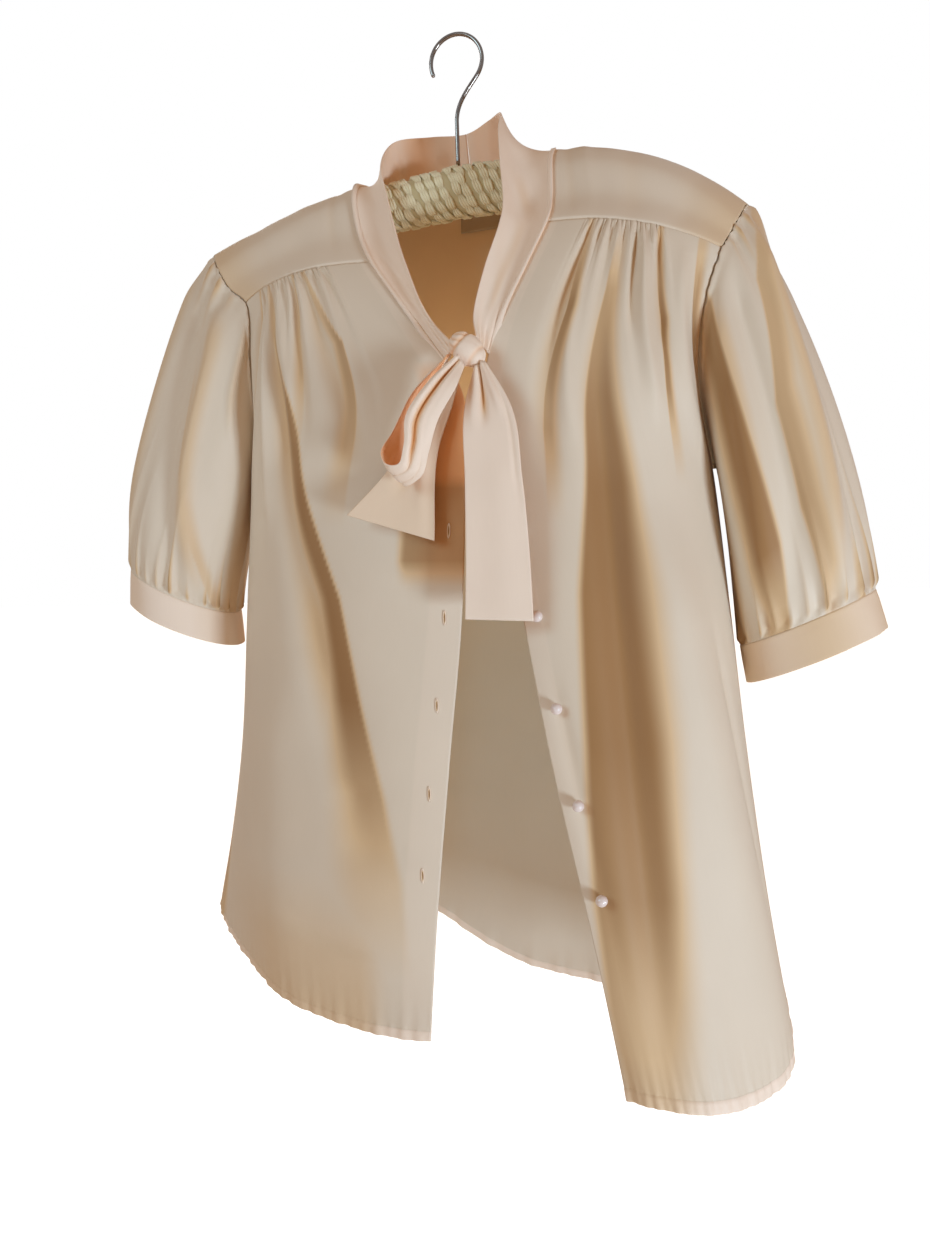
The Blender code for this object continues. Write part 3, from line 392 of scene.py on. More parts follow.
# Gathers at a sleeve's cap and its cuff. The cap's rim is a puffed line along the armhole's
# seam: its place and half width in t, how far it comes back over the seam, how far it
# swells, and how deep the turned in edge sinks below it.
SLEEVE_CAP_GATHERS = 10
SLEEVE_CAP_ZONE = (0.30, 0.74)
SLEEVE_CAP_SHARE = (0.27, 0.73)
SLEEVE_CAP_DEPTH = 2.4
SLEEVE_CUFF_GATHERS = 24
SLEEVE_CUFF_DEPTH = 3.8
SLEEVE_LINES = (0.001, 0.003, 0.006, 0.01, 0.015, 0.022, 0.03)
CAP_RIM = (0.016, 0.012)
CAP_RIM_OVER = 2.6
CAP_RIM_SWELL = 1.5
CAP_EDGE_SINK = 0.9
SLEEVE_ROUND = 420.0
SLEEVE_LENGTH = 250.0
SLEEVE_FOLDS_LEFT = (
    (0.24, 0.15, 0.02, 1.02, 0.030, 0.035, -6.5),
    (0.29, 0.23, 0.05, 1.00, 0.028, 0.032, 6.0),
    (0.42, 0.30, 0.03, 1.02, 0.030, 0.032, -6.0),
    (0.49, 0.38, 0.05, 1.02, 0.035, 0.040, 5.0),
    (0.60, 0.58, 0.05, 1.00, 0.035, 0.040, -6.0),
    (0.70, 0.72, 0.05, 1.00, 0.035, 0.040, 5.0),
    (0.80, 0.84, 0.08, 1.00, 0.030, 0.035, -5.0),
)
SLEEVE_FOLDS_RIGHT = (
    (0.27, 0.17, 0.02, 0.30, 0.020, 0.025, -3.5),
    (0.36, 0.11, 0.05, 1.02, 0.030, 0.032, -5.5),
    (0.42, 0.20, 0.08, 1.00, 0.035, 0.040, 5.0),
    (0.48, 0.36, 0.05, 1.02, 0.030, 0.040, -5.0),
    (0.60, 0.56, 0.05, 1.00, 0.035, 0.040, -6.0),
    (0.70, 0.72, 0.05, 1.00, 0.035, 0.040, 5.0),
    (0.80, 0.84, 0.08, 1.00, 0.030, 0.035, -5.0),
)

# The two halves: the sign of their outside, and their tables.
LEFT = {
    "sign": 1, "front": FRONT_LEFT, "gathers": GATHERS_LEFT, "folds": FOLDS_LEFT,
    "shades": SHADES_LEFT, "glows": (), "yoke_folds": FOLDS_YOKE_LEFT, "cuff": CUFF_LEFT,
    "sleeve_folds": SLEEVE_FOLDS_LEFT, "sleeve_shades": SLEEVE_SHADES_LEFT,
}
RIGHT = {
    "sign": -1, "front": FRONT_RIGHT, "gathers": GATHERS_RIGHT, "folds": FOLDS_RIGHT,
    "shades": SHADES_RIGHT, "glows": GLOWS_RIGHT, "yoke_folds": FOLDS_YOKE_RIGHT, "cuff": CUFF_RIGHT,
    "sleeve_folds": SLEEVE_FOLDS_RIGHT, "sleeve_shades": SLEEVE_SHADES_RIGHT,
}

# Buttons and buttonholes
LEVELS = (0.425, 0.522, 0.612, 0.703, 0.789)
BUTTON_RADIUS = 3.9
BUTTON_INSET = 12.0
SHANK_RADIUS = 1.4
SHANK_LENGTH = 1.6
SHANK_FOOT = 0.3
BUTTONHOLE_U = 0.962
BUTTONHOLE_HALF_LENGTH = 5.4
BUTTONHOLE_HALF_WIDTH = 1.15
STITCHES_ROUND = 36

# Neck label
LABEL_ACROSS = (-0.06, 0.14)
LABEL_DOWN = (0.012, 0.045)
LABEL_THICKNESS = 0.8
LABEL_SIZE = (47, 22)
LABEL_INWARDS = 1.8

# Hanger
WIRE_DIAMETER = 3.2
HOOK_INNER_RADIUS = 18.4
HOOK_TIP = math.radians(202)
HOOK_TURN_OFF = math.radians(-38)
STEM_TOP = (-1.0, -63.0)
STEM_FOOT_GAP = 0.4
BEND_HANDLES = (12, 14)
BAR_DEPTH_SHARE = 0.6
BAR_NECK_LINE = ((-38, -97.8), (0, -93.4), (36, -93.8))
BAR_CLEARANCE = 1.7
BAR = ((-197, 12.5), (-160, 16), (-80, 18), (0, 19.5), (80, 18), (160, 16), (197, 12.5))
STITCH_PITCH = 8.5
STITCH_ROWS = 11
STRANDS_PER_STITCH = 3
STRAND_SPREAD = 2.1
STRAND_RADIUS = 1.25
STITCH_LEAN = 7.0
STRAND_SIDES = 6
BAR_END = 6
CORE_SINK = -1.9
STRAND_SINK = -2.6
STRAND_RISE = 2.2

# Camera: where it stands round the target, how far off, and its focal length in pixels
# of a picture 1248 high.
CAMERA_YAW = math.radians(15)
CAMERA_PITCH = math.radians(3.7)
CAMERA_ROLL = math.radians(-1.8)
CAMERA_DISTANCE = 788.0
CAMERA_TARGET = (-7, 0, -446)
FOCAL_PIXELS = 1000.0
PICTURE_HEIGHT = 1248.0
SENSOR = 36.0
FLOOR_LEVEL = -1650.0

# Lamps: their place and target in metres, size, power in watts, and colour.
LIGHTS = (
    ("key", (1.60, -1.10, -1.00), (0.0, 0.0, -0.42), 0.40, 26, (0.62, 0.82, 1.0)),
    ("fill", (-1.20, -1.60, 0.40), (0.0, 0.0, -0.35), 0.9, 15, (0.50, 0.80, 1.0)),
    ("neck_glow", (0.0, -0.04, -0.30), (0.0, 0.3, -0.28), 0.12, 0.07, (1.0, 0.80, 0.52)),
    ("rear", (-1.2, 2.2, 0.6), (0.0, 0.0, -0.42), 1.6, 28, (0.95, 0.97, 1.0)),
    ("glow", (0.02, -0.02, -0.55), (0.02, 0.3, -0.55), 0.34, 0.07, (0.62, 0.92, 1.0)),
)
# The surround's colours and strengths: as it lights, as it is mirrored and as it is seen.
SURROUND = (((0.44, 0.24, 0.10, 1), 0.80), ((0.42, 0.42, 0.44, 1), 1.0), ((1, 1, 1, 1), 1.0))

# The crepe's colours, its own and those of its painted shade and painted glow
CREPE_COLOURS = {
    "single": (0.78, 0.665, 0.53, 1), "layered": (0.95, 0.785, 0.645, 1), "painted_half_shade": (0.75, 0.53, 0.31, 1),
    "painted_shade": (0.39, 0.205, 0.08, 1), "painted_glow": (0.98, 0.50, 0.22, 1),
}


# Curves and surfaces

def spline(table, t):
    """A smooth curve through the table's rows, whose first column is the parameter."""
    table = np.asarray(table, float)
    knots, values = table[:, 0], table[:, 1:]
    slopes = np.gradient(values, knots, axis=0)
    t = np.clip(np.asarray(t, float), knots[0], knots[-1])
    i = np.clip(np.searchsorted(knots, t, side="right") - 1, 0, len(knots) - 2)
    step = (knots[i + 1] - knots[i])[..., None]
    s = (t - knots[i])[..., None] / step
    return (
        (2 * s**3 - 3 * s**2 + 1) * values[i]
        + (s**3 - 2 * s**2 + s) * step * slopes[i]
        + (3 * s**2 - 2 * s**3) * values[i + 1]
        + (s**3 - s**2) * step * slopes[i + 1]
    )


def bezier(a, p, q, b, t):
    """The cubic curve from a to b with the handles p and q."""
    t = np.asarray(t)[..., None]
    return (1 - t) ** 3 * a + 3 * t * (1 - t) ** 2 * p + 3 * t**2 * (1 - t) * q + t**3 * b


def smooth(x):
    """0 below 0, 1 above 1, and a soft step between."""
    x = np.clip(x, 0, 1)
    return x * x * (3 - 2 * x)


def unit(vectors):
    """The vectors at length 1."""
    return vectors / (np.linalg.norm(vectors, axis=-1, keepdims=True) + 1e-12)


def wander(x, seed):
    """An uneven wave between about -1 and 1: three sines whose lengths don't fit together."""
    return (np.sin(2.1 * x + seed) + np.sin(3.7 * x + 2.3 * seed) + np.sin(6.1 * x + 4.1 * seed)) / 3


def puckers(phase):
    """Small round crests with sharp bottoms between them, one for each unit of the phase."""
    return np.abs(np.sin(math.pi * phase)) ** 0.7 - 0.65


def peak(x, middle, half_width):
    """A bell curve: 1 in the middle, and nearly 0 two half widths away."""
    return np.exp(-(((x - middle) / half_width) ** 2))


def lifted(surface, u, v, height, outside):
    """The surface's points moved by height along the normal, which outside turns outwards."""
    e = 1e-3
    across = surface(u + e, v) - surface(u - e, v)
    down = surface(u, v + e) - surface(u, v - e)
    normal = unit(np.cross(across, down)) * outside
    return surface(u, v) + normal * np.asarray(height)[..., None]


def fold_height(folds, u, v):
    """The sum of the folds: each is a soft ridge or trough along a straight line in u and v."""
    total = np.zeros(np.broadcast(u, v).shape)
    for u_top, u_bottom, v_start, v_end, width_top, width_bottom, height in folds:
        along = (v - v_start) / (v_end - v_start)
        centre = u_top + (u_bottom - u_top) * along
        width = width_top + (width_bottom - width_top) * np.clip(along, 0, 1)
        ends = smooth(along / 0.18) * smooth((1 - along) / 0.35)
        total += height * ends * peak(u, centre, width)
    return total


def shade(bands, u, v):
    """How deep in a fold's shaded side a point lies, from 0 to 1: each band rises at its
    crisp side, stays level over its deep part and fades out softly beyond it."""
    total = np.zeros(np.broadcast(u, v).shape)
    for rows in bands:
        table = np.array(rows, float)
        crisp, deep, faded, strength = (np.interp(v, table[:, 0], table[:, i]) for i in range(1, 5))
        strength = strength * smooth((v - table[0, 0]) / 0.02 + 1)
        way = (crisp - u) / (crisp - faded)
        level = (crisp - deep) / (crisp - faded)
        strength = strength * smooth(way / 0.12)
        total = np.maximum(total, strength * (1 - smooth((way - level) / (1 - level))))
    return total


def rolled(distance, radius):
    """How far a seam's edge sinks at that distance from it: a quarter of a circle."""
    left = np.clip(radius - distance, 0, radius)
    return np.sqrt(radius**2 - left**2) - radius


def rounded_off(distance, spare, depth):
    """The share of its thickness that cloth has at that distance from its edge: the root of
    the distance over the rounding's depth, with a spare so that the edge keeps some."""
    return np.sqrt(np.clip(distance + spare, 0, depth) / depth)


def grid_lines(first, last, count, fine_first=(), fine_last=()):
    """Grid lines from first to last, even ones and finer ones near either end."""
    even = np.linspace(first, last, count)
    return np.unique(np.concatenate([even, first + np.array(fine_first), last - np.array(fine_last)]))


# Meshes

def add_object(name, data):
    """An object with that data, at the origin."""
    made = bpy.data.objects.new(name, data)
    bpy.context.scene.collection.objects.link(made)
    return made


def write_mesh(name, vertices, faces, finish, corner_uv=None, values=None):
    """An object from arrays of points in millimetres and of faces, whose rows hold four
    corners or three and a -1, with a UV map named cloth in metres and float attributes."""
    mesh = bpy.data.meshes.new(name)
    mesh.vertices.add(len(vertices))
    mesh.vertices.foreach_set("co", (np.asarray(vertices, float) * MM).ravel())
    used = faces >= 0
    corners = used.sum(1)
    mesh.loops.add(int(corners.sum()))
    mesh.loops.foreach_set("vertex_index", faces[used])
    mesh.polygons.add(len(faces))
    mesh.polygons.foreach_set("loop_start", np.cumsum(corners) - corners)
    mesh.update(calc_edges=True)
    if corner_uv is not None:
        layer = mesh.uv_layers.new(name="cloth")
        layer.data.foreach_set("uv", (np.asarray(corner_uv, float)[used] * MM).ravel())
    for key, value in (values or {}).items():
        attribute = mesh.attributes.new(key, "FLOAT", "POINT")
        attribute.data.foreach_set("value", np.asarray(value, float).ravel())
    mesh.validate()
    mesh.shade_smooth()
    mesh.materials.append(finish)
    return add_object(name, mesh)


def grid_faces(rows, columns, ring):
    """The corners of a grid's faces as (row, column) pairs, whose last column may pass the
    seam of a ring, and the vertex numbers they stand for."""
    width = columns + 1 if ring else columns
    row, column = np.meshgrid(np.arange(rows - 1), np.arange(width - 1), indexing="ij")
    corners = np.stack([
        np.stack([row, column], -1), np.stack([row, column + 1], -1),
        np.stack([row + 1, column + 1], -1), np.stack([row + 1, column], -1),
    ], 2).reshape(-1, 4, 2)
    numbers = corners[..., 0] * columns + corners[..., 1] % columns
    return corners, numbers


def pole_faces(rows, columns):
    """The triangles that join a ring grid's first and last rows to two poles, which follow
    the grid's own vertices."""
    here = np.arange(columns)
    there = (here + 1) % columns
    last, pole, none = (rows - 1) * columns, rows * columns + 0 * here, 0 * here - 1
    return np.concatenate([
        np.stack([there, here, pole, none], -1),
        np.stack([here + last, there + last, pole + 1, none], -1),
    ])


def closed_faces(rows, columns):
    """All the faces of a ring grid with its two poles."""
    return np.concatenate([grid_faces(rows, columns, True)[1], pole_faces(rows, columns)])


def numbered_uv(numbers, rows, columns, size):
    """The flat place of vertices from their numbers, with size millimetres between them."""
    return np.stack([numbers % columns * size[0], numbers // columns % rows * size[1]], -1)


def shell(name, points, thickness, flat_size, finish, values, ring=False):
    """A wall of cloth: the grid of points is moved half the thickness both ways along its
    normals, and a rim joins the two layers at the open edges. A value given as a pair is
    for the layer that the grid's normal, across times down, looks at and for the other."""
    rows, columns = points.shape[:2]
    layer = rows * columns
    if ring:
        across = np.roll(points, -1, 1) - np.roll(points, 1, 1)
    else:
        across = np.gradient(points, axis=1)
    normal = unit(np.cross(across, np.gradient(points, axis=0)))
    half = np.broadcast_to(np.asarray(thickness, float), (rows, columns))[..., None] / 2
    vertices = np.concatenate([points + normal * half, points - normal * half]).reshape(-1, 3)
    corners, numbers = grid_faces(rows, columns, ring)
    border = [np.arange(columns), (rows - 1) * columns + np.arange(columns)[::-1]]
    if ring:
        loops = [np.append(line, line[0]) for line in border]
    else:
        right = np.arange(rows) * columns + columns - 1
        left = np.arange(rows)[::-1] * columns
        loops = [np.concatenate([border[0], right[1:], border[1][1:], left[1:]])]
    rims = np.concatenate([
        np.stack([line[1:], line[:-1], line[:-1] + layer, line[1:] + layer], -1) for line in loops
    ])
    size = np.array(flat_size, float) / np.array([columns if ring else columns - 1, rows - 1])
    uv = corners[..., ::-1] * size
    uv = np.concatenate([uv, uv[:, ::-1], numbered_uv(rims, rows, columns, size)])
    both = {}
    for key, value in values.items():
        pair = value if isinstance(value, tuple) else (value, value)
        both[key] = np.concatenate([np.broadcast_to(one, (rows, columns)).ravel() for one in pair])
    faces = np.concatenate([numbers, numbers[:, ::-1] + layer, rims])
    return write_mesh(name, vertices, faces, finish, uv, both)


def turned_in(points):
    """The grid with a row before its first one as a seam allowance, which runs on the way
    that the rolled edge was already going."""
    return np.concatenate([points[:1] + unit(points[:1] - points[1:2]) * ALLOWANCE, points])


# The blouse's surfaces

def panel(table, u, v):
    """A front and its yoke in one: u runs from the side to the edge, v from the shoulder
    seam to the hem."""
    row = spline(table, v)
    return bezier(row[..., 0:3], row[..., 3:6], row[..., 6:9], row[..., 9:12], u)


def fan(share, zone, c, fade):
    """Column c's place on a gathered seam, where share of the columns crowds into zone."""
    crowded = np.interp(c, (0, share[0], share[1], 1), (0, zone[0], zone[1], 1))
    return c + (crowded - c) * fade


def hem_ripples(across, v, waves, pulls):
    """The uneven ripples of a hem: waves that fade upwards, given as height, length, reach
    and seed, and the small pulls of its stitched line, given as height, length and seed."""
    from_hem = (1 - v) * PANEL_LENGTH
    height, length, reach, seed = waves
    ripples = height * wander(across / length, seed) * np.exp(-from_hem / reach)
    height, length, seed = pulls
    return ripples + height * wander(across / length, seed) * peak(from_hem, HEM_DEPTH, 3)


def front_surface(half, c, v):
    """A front below its yoke, the height of its gathers and folds, and its u. Large gathers
    are waves, and sharp-bottomed puckers, whose phase wanders, stand on them near the seam;
    both die out as the columns fan out. The hem ripples unevenly."""
    side = half["sign"]
    start, end, count, depth, reach = half["gathers"]
    below = np.maximum(v - YOKE_END, 0) / reach
    u = fan(GATHER_SHARE, (start, end), c, np.exp(-below * FAN_FADE))
    u = FRONT_SIDE + (1 - FRONT_SIDE) * u
    place = (c - GATHER_SHARE[0]) / (GATHER_SHARE[1] - GATHER_SHARE[0])
    inside = smooth(place * count) * smooth((1 - place) * count)
    phase = count * place
    reached = below / (1 + 0.45 * wander(9 * place, side))
    height = -np.cos(TURN * phase) * depth * smooth(below / 0.35) * np.exp(-reached * GATHER_FADE)
    pucker = puckers(PUCKERS_PER_GATHER * phase + 0.35 * wander(14 * place, 2 + side))
    height = height + PUCKER_DEPTH * pucker * smooth(below / 0.04) * np.exp(-reached * PUCKER_FADE)
    height = height * inside + fold_height(half["folds"], u, v)
    height = height + hem_ripples(u * PANEL_WIDTH, v, (1.1, 11, 16, 5 + side), (0.25, 3.2, 9 + side))
    height = height + rolled((v - YOKE_END) * PANEL_LENGTH - SEAM_GAP, 1.0)
    return lifted(lambda a, b: panel(half["front"], a, b), u, v, height, side), height, u


def back_level(w, v):
    """The back's section at v below the underarm: w runs from -1, the right side seam, to 1,
    the left side seam."""
    right = spline(FRONT_RIGHT, v)[..., 0:3]
    left = spline(FRONT_LEFT, v)[..., 0:3]
    middle = spline(BACK_MIDDLE, v)
    side = np.where((w < 0)[..., None], right, left)
    reach = middle - side
    p = side + reach * np.array([0.0, BACK_SQUARENESS, 0.35])
    q = middle - reach * np.array([BACK_SQUARENESS, 0.0, 0.15])
    return bezier(side, p, q, middle, 1 - np.abs(w))


def back_top(w):
    """The back's upper edge: the two shoulder seams with the back of the neck between them."""
    share = BACK_SHOULDER_SHARE
    zero = np.zeros_like(w)
    right = panel(FRONT_RIGHT, np.clip((1 + w) / share, 0, 1), zero)
    left = panel(FRONT_LEFT, np.clip((1 - w) / share, 0, 1), zero)
    neck = spline(BACK_NECK, np.clip(w / (1 - share), -1, 1))
    return np.where((w < share - 1)[..., None], right, np.where((w > 1 - share)[..., None], left, neck))


def back_surface(w, v):
    """The back: w from side to side, v from the shoulders to the hem. Above the underarm a
    point falls from the top edge and swells backwards as a quarter of a sine, and the two
    armhole edges curve inwards and back."""
    s = np.clip(v / UNDERARM, 0, 1)
    top = back_top(w)
    low = back_level(w, np.full_like(v, UNDERARM))
    share = np.stack([s, np.sin(math.pi / 2 * s), s], -1)
    upper = top + (low - top) * share
    bend = np.sin(math.pi * s) * np.abs(w) ** ARMHOLE_NARROWNESS
    upper = upper + np.stack([-ARMHOLE_IN * np.sign(w) * bend, ARMHOLE_BACK * bend, 0 * bend], -1)
    lower = back_level(w, np.maximum(v, UNDERARM))
    dip = spline(BACK_DIP, w)[..., 0] * smooth((v - BACK_DIP_START) / (1 - BACK_DIP_START))
    lower = lower - np.stack([0 * dip, 0 * dip, dip], -1)
    return np.where((v < UNDERARM)[..., None], upper, lower)


def armhole(table, side, w):
    """The armhole ring: w is 0 at the underarm, 0.25 in front, 0.5 at the shoulder and 0.75 behind."""
    w = w % 1.0
    front = spline(table, UNDERARM * (1 - 2 * np.minimum(w, 0.5)))[..., 0:3]
    behind = back_surface(np.full_like(w, side), UNDERARM * (2 * np.maximum(w, 0.5) - 1))
    return np.where((w < 0.5)[..., None], front, behind)


def cuff_ring(cuff, side, w, down):
    """The cuff's ring down millimetres below its seam, with the same w as the armhole."""
    turn = TURN * w
    flare = CUFF_FLARE * down / CUFF_DEPTH
    outward = -np.cos(turn)
    x = cuff["x"] + side * outward * (cuff["width"] + flare) + cuff["lean"] * down / CUFF_DEPTH
    y = cuff["y"] - np.sin(turn) * (cuff["depth"] + flare)
    z = cuff["z"] + cuff["rise"] * outward - down
    return np.stack([x, y, z], -1)


def sleeve(half, w, t):
    """A sleeve without folds: Bezier lines from the armhole at t 0 to the cuff's seam at t 1."""
    side = half["sign"]
    turn = TURN * w
    low = (1 + np.cos(turn)) / 2
    start = armhole(half["front"], side, w)
    start = start + np.stack([side * (ANGLED_SEAM_GAP + UNDERARM_GAP * low), 0 * w, -0.5 + 0 * w], -1)
    end = cuff_ring(half["cuff"], side, w, np.zeros_like(w))
    puff = [swell * np.sin(turn) for swell in SLEEVE_PUFF]
    leaves = [high + change * low for high, change in zip(SLEEVE_LEAVES, UNDERARM_LEAVES)]
    arrives = [high + change * low for high, change in zip(SLEEVE_ARRIVES, UNDERARM_ARRIVES)]
    out = np.stack([side * leaves[0], -puff[0], leaves[1]], -1)
    back = np.stack([side * arrives[0], -puff[1], arrives[1]], -1)
    return bezier(start, start + out, end + back, end, t)


def sleeve_surface(half, c, t):
    """A sleeve, the height of its folds, that of its gathers at the cap and all round its
    cuff, with small sharp puckers on both kinds, and its w."""
    side = half["sign"]
    w = fan(SLEEVE_CAP_SHARE, SLEEVE_CAP_ZONE, c, np.exp(-t * 5))
    place = (c - SLEEVE_CAP_SHARE[0]) / (SLEEVE_CAP_SHARE[1] - SLEEVE_CAP_SHARE[0])
    inside = smooth(place * 5) * smooth((1 - place) * 5)
    cap = -np.cos(TURN * SLEEVE_CAP_GATHERS * place)
    cap = cap * SLEEVE_CAP_DEPTH * smooth(t / 0.04) * np.exp(-t * 9)
    pucker = puckers(2 * SLEEVE_CAP_GATHERS * place + 0.3 * wander(12 * place, side))
    cap = (cap + 1.2 * pucker * smooth(t / 0.01) * np.exp(-t * 22)) * inside
    uneven = 1 + 0.6 * np.sin(TURN * 5 * c + side) * np.sin(TURN * 3 * c)
    bend = 0.5 * np.sin(TURN * 4 * c + side)
    crest = 1 - 2 * np.abs(np.sin(math.pi * SLEEVE_CUFF_GATHERS * c + bend)) ** 0.8
    reached = (1 - t) / (1 + 0.55 * np.sin(TURN * 7 * c + 2 * side))
    low = -crest * uneven * SLEEVE_CUFF_DEPTH * smooth((1 - t) / 0.04) * np.exp(-reached * 9)
    pucker = puckers(2 * SLEEVE_CUFF_GATHERS * c + 0.9 / math.pi * np.sin(TURN * 7 * c))
    low = low + pucker * smooth((1 - t) / 0.01) * np.exp(-(1 - t) * 26)
    folded = fold_height(half["sleeve_folds"], w, t)
    points = lifted(lambda a, b: sleeve(half, a, b), w, t, cap + low + folded, side)
    return points, folded, cap + low, w


def collar_lines():
    """The collar's seam, its free edge and its bow at each row of the table."""
    seam = []
    for name, at, *_ in COLLAR:
        at = np.array([float(at)])
        edge = FRONT_LEFT if name == "left" else FRONT_RIGHT
        seam.append(spline(BACK_NECK, at)[0] if name == "neck" else spline(edge, at)[0][9:12])
    free, bow = [row[2:5] for row in COLLAR], [row[5:] for row in COLLAR]
    stations = np.linspace(0, 1, len(COLLAR))
    return [np.column_stack([stations, np.array(line, float)]) for line in (seam, free, bow)]


COLLAR_SEAM, COLLAR_FREE, COLLAR_BOW = collar_lines()


def collar_surface(u, t):
    """The collar: u from its seam at 0 to its free edge at 1, t from the right end to the
    left. It gathers lengthwise where it enters the knot."""
    low, high, out = spline(COLLAR_SEAM, t), spline(COLLAR_FREE, t), spline(COLLAR_BOW, t)
    along = spline(COLLAR_SEAM, t + 1e-3) - spline(COLLAR_SEAM, t - 1e-3)
    outward = unit(np.cross(along, high - low))
    start = low + unit(high - low) * COLLAR_GAP
    near_knot = np.exp(-np.minimum(t, 1 - t) / 0.035)
    height = 0.8 * np.cos(TURN * 3.0 * u + 0.6) * near_knot + fold_height(FOLDS_COLLAR, u, t)
    height = height + 0.4 * wander(t * 14 + 2 * u, 2) * smooth(u * 3)
    u = np.asarray(u)[..., None]
    points = start + (high - start) * u + outward * (out * np.sin(math.pi * u) + height[..., None])
    return points, height


def ribbon(table, folds, outside, u, t):
    """A tie piece and its crease height: u from -1 to 1 across it, t along it. Outside says
    on which side of the ribbon a ridge stands out."""
    row = spline(table, t)
    centre, half, bow = row[..., 0:3], row[..., 3:6], row[..., 6]
    along = spline(table, t + 1e-3)[..., 0:3] - spline(table, t - 1e-3)[..., 0:3]
    height = fold_height(folds, u, t)
    out = unit(np.cross(half, along)) * outside
    raised = out * (height + bow * (1 - u**2))[..., None]
    return centre + half * np.asarray(u)[..., None] + raised, height


# Materials

def node_group(name, inputs, outputs):
    """An empty shader group with those float inputs, each with its default, and outputs."""
    tree = bpy.data.node_groups.new(name, "ShaderNodeTree")
    for label, kind, default in inputs:
        socket = tree.interface.new_socket(label, in_out="INPUT", socket_type=kind)
        if default is not None:
            socket.default_value = default
    for label, kind in outputs:
        tree.interface.new_socket(label, in_out="OUTPUT", socket_type=kind)
    return tree, tree.nodes.new("NodeGroupInput"), tree.nodes.new("NodeGroupOutput")


def calculate(tree, operation, a, b):
    """A Math node, whose inputs are sockets or numbers."""
    node = tree.nodes.new("ShaderNodeMath")
    node.operation = operation
    for socket, value in zip(node.inputs, (a, b)):
        if isinstance(value, (int, float)):
            socket.default_value = value
        else:
            tree.links.new(value, socket)
    return node.outputs[0]


def blend_colours(tree, factor, a, b, mode="MIX"):
    """A Mix node for colours, whose inputs are sockets, numbers or colours."""
    node = tree.nodes.new("ShaderNodeMix")
    node.data_type = "RGBA"
    node.blend_type = mode
    for socket, value in ((node.inputs[0], factor), (node.inputs[6], a), (node.inputs[7], b)):
        if isinstance(value, bpy.types.NodeSocket):
            tree.links.new(value, socket)
        else:
            socket.default_value = value
    return node.outputs[2]


def noise(tree, vector, scale, detail=2.0):
    """A Noise node's value on that vector; the scale is a number or a socket."""
    node = tree.nodes.new("ShaderNodeTexNoise")
    node.inputs["Detail"].default_value = detail
    tree.links.new(vector, node.inputs["Vector"])
    if isinstance(scale, bpy.types.NodeSocket):
        tree.links.new(scale, node.inputs["Scale"])
    else:
        node.inputs["Scale"].default_value = scale
    return node.outputs[0]


def attribute(tree, name):
    """A float attribute's value."""
    node = tree.nodes.new("ShaderNodeAttribute")
    node.attribute_name = name
    return node.outputs["Fac"]


def cloth_place(tree):
    """The place on the flat cloth, from the UV map."""
    node = tree.nodes.new("ShaderNodeUVMap")
    node.uv_map = "cloth"
    return node.outputs[0]


def object_place(tree):
    """The place on the object."""
    return tree.nodes.new("ShaderNodeTexCoord").outputs["Object"]


def crepe_grain_group():
    """Crepe: a pebbly grain of twisted threads with faint lengthwise slubs, and slow tone."""
    tree, given, out = node_group(
        "crepe grain",
        [("Place", "NodeSocketVector", None), ("Pebble size", "NodeSocketFloat", 0.0007)],
        [("Height", "NodeSocketFloat"), ("Tone", "NodeSocketFloat")],
    )
    place = given.outputs["Place"]
    pebbles = noise(tree, place, calculate(tree, "DIVIDE", 1.0, given.outputs["Pebble size"]), 3.0)
    stretch = tree.nodes.new("ShaderNodeVectorMath")
    stretch.operation = "MULTIPLY"
    stretch.inputs[1].default_value = (900.0, 60.0, 900.0)
    tree.links.new(place, stretch.inputs[0])
    slubs = noise(tree, stretch.outputs[0], 1.0)
    slow = noise(tree, place, 14.0)
    for label, first, share in (("Height", pebbles, 0.5), ("Tone", slow, 0.25)):
        total = calculate(tree, "ADD", first, calculate(tree, "MULTIPLY", slubs, share))
        tree.links.new(total, out.inputs[label])
    return tree


def new_material(name, roughness, specular=0.5, metallic=0.0):
    """A material with its shader, and the constants set on the shader's own sockets."""
    made = bpy.data.materials.new(name)
    made.use_nodes = True
    shader = made.node_tree.nodes["Principled BSDF"]
    shader.inputs["Roughness"].default_value = roughness
    shader.inputs["Specular IOR Level"].default_value = specular
    shader.inputs["Metallic"].default_value = metallic
    return made, made.node_tree, shader


def bump(tree, shader, height, strength, distance):
    """A Bump node between that height and the shader's normal."""
    node = tree.nodes.new("ShaderNodeBump")
    node.inputs["Strength"].default_value = strength
    node.inputs["Distance"].default_value = distance
    tree.links.new(height, node.inputs["Height"])
    tree.links.new(node.outputs[0], shader.inputs["Normal"])


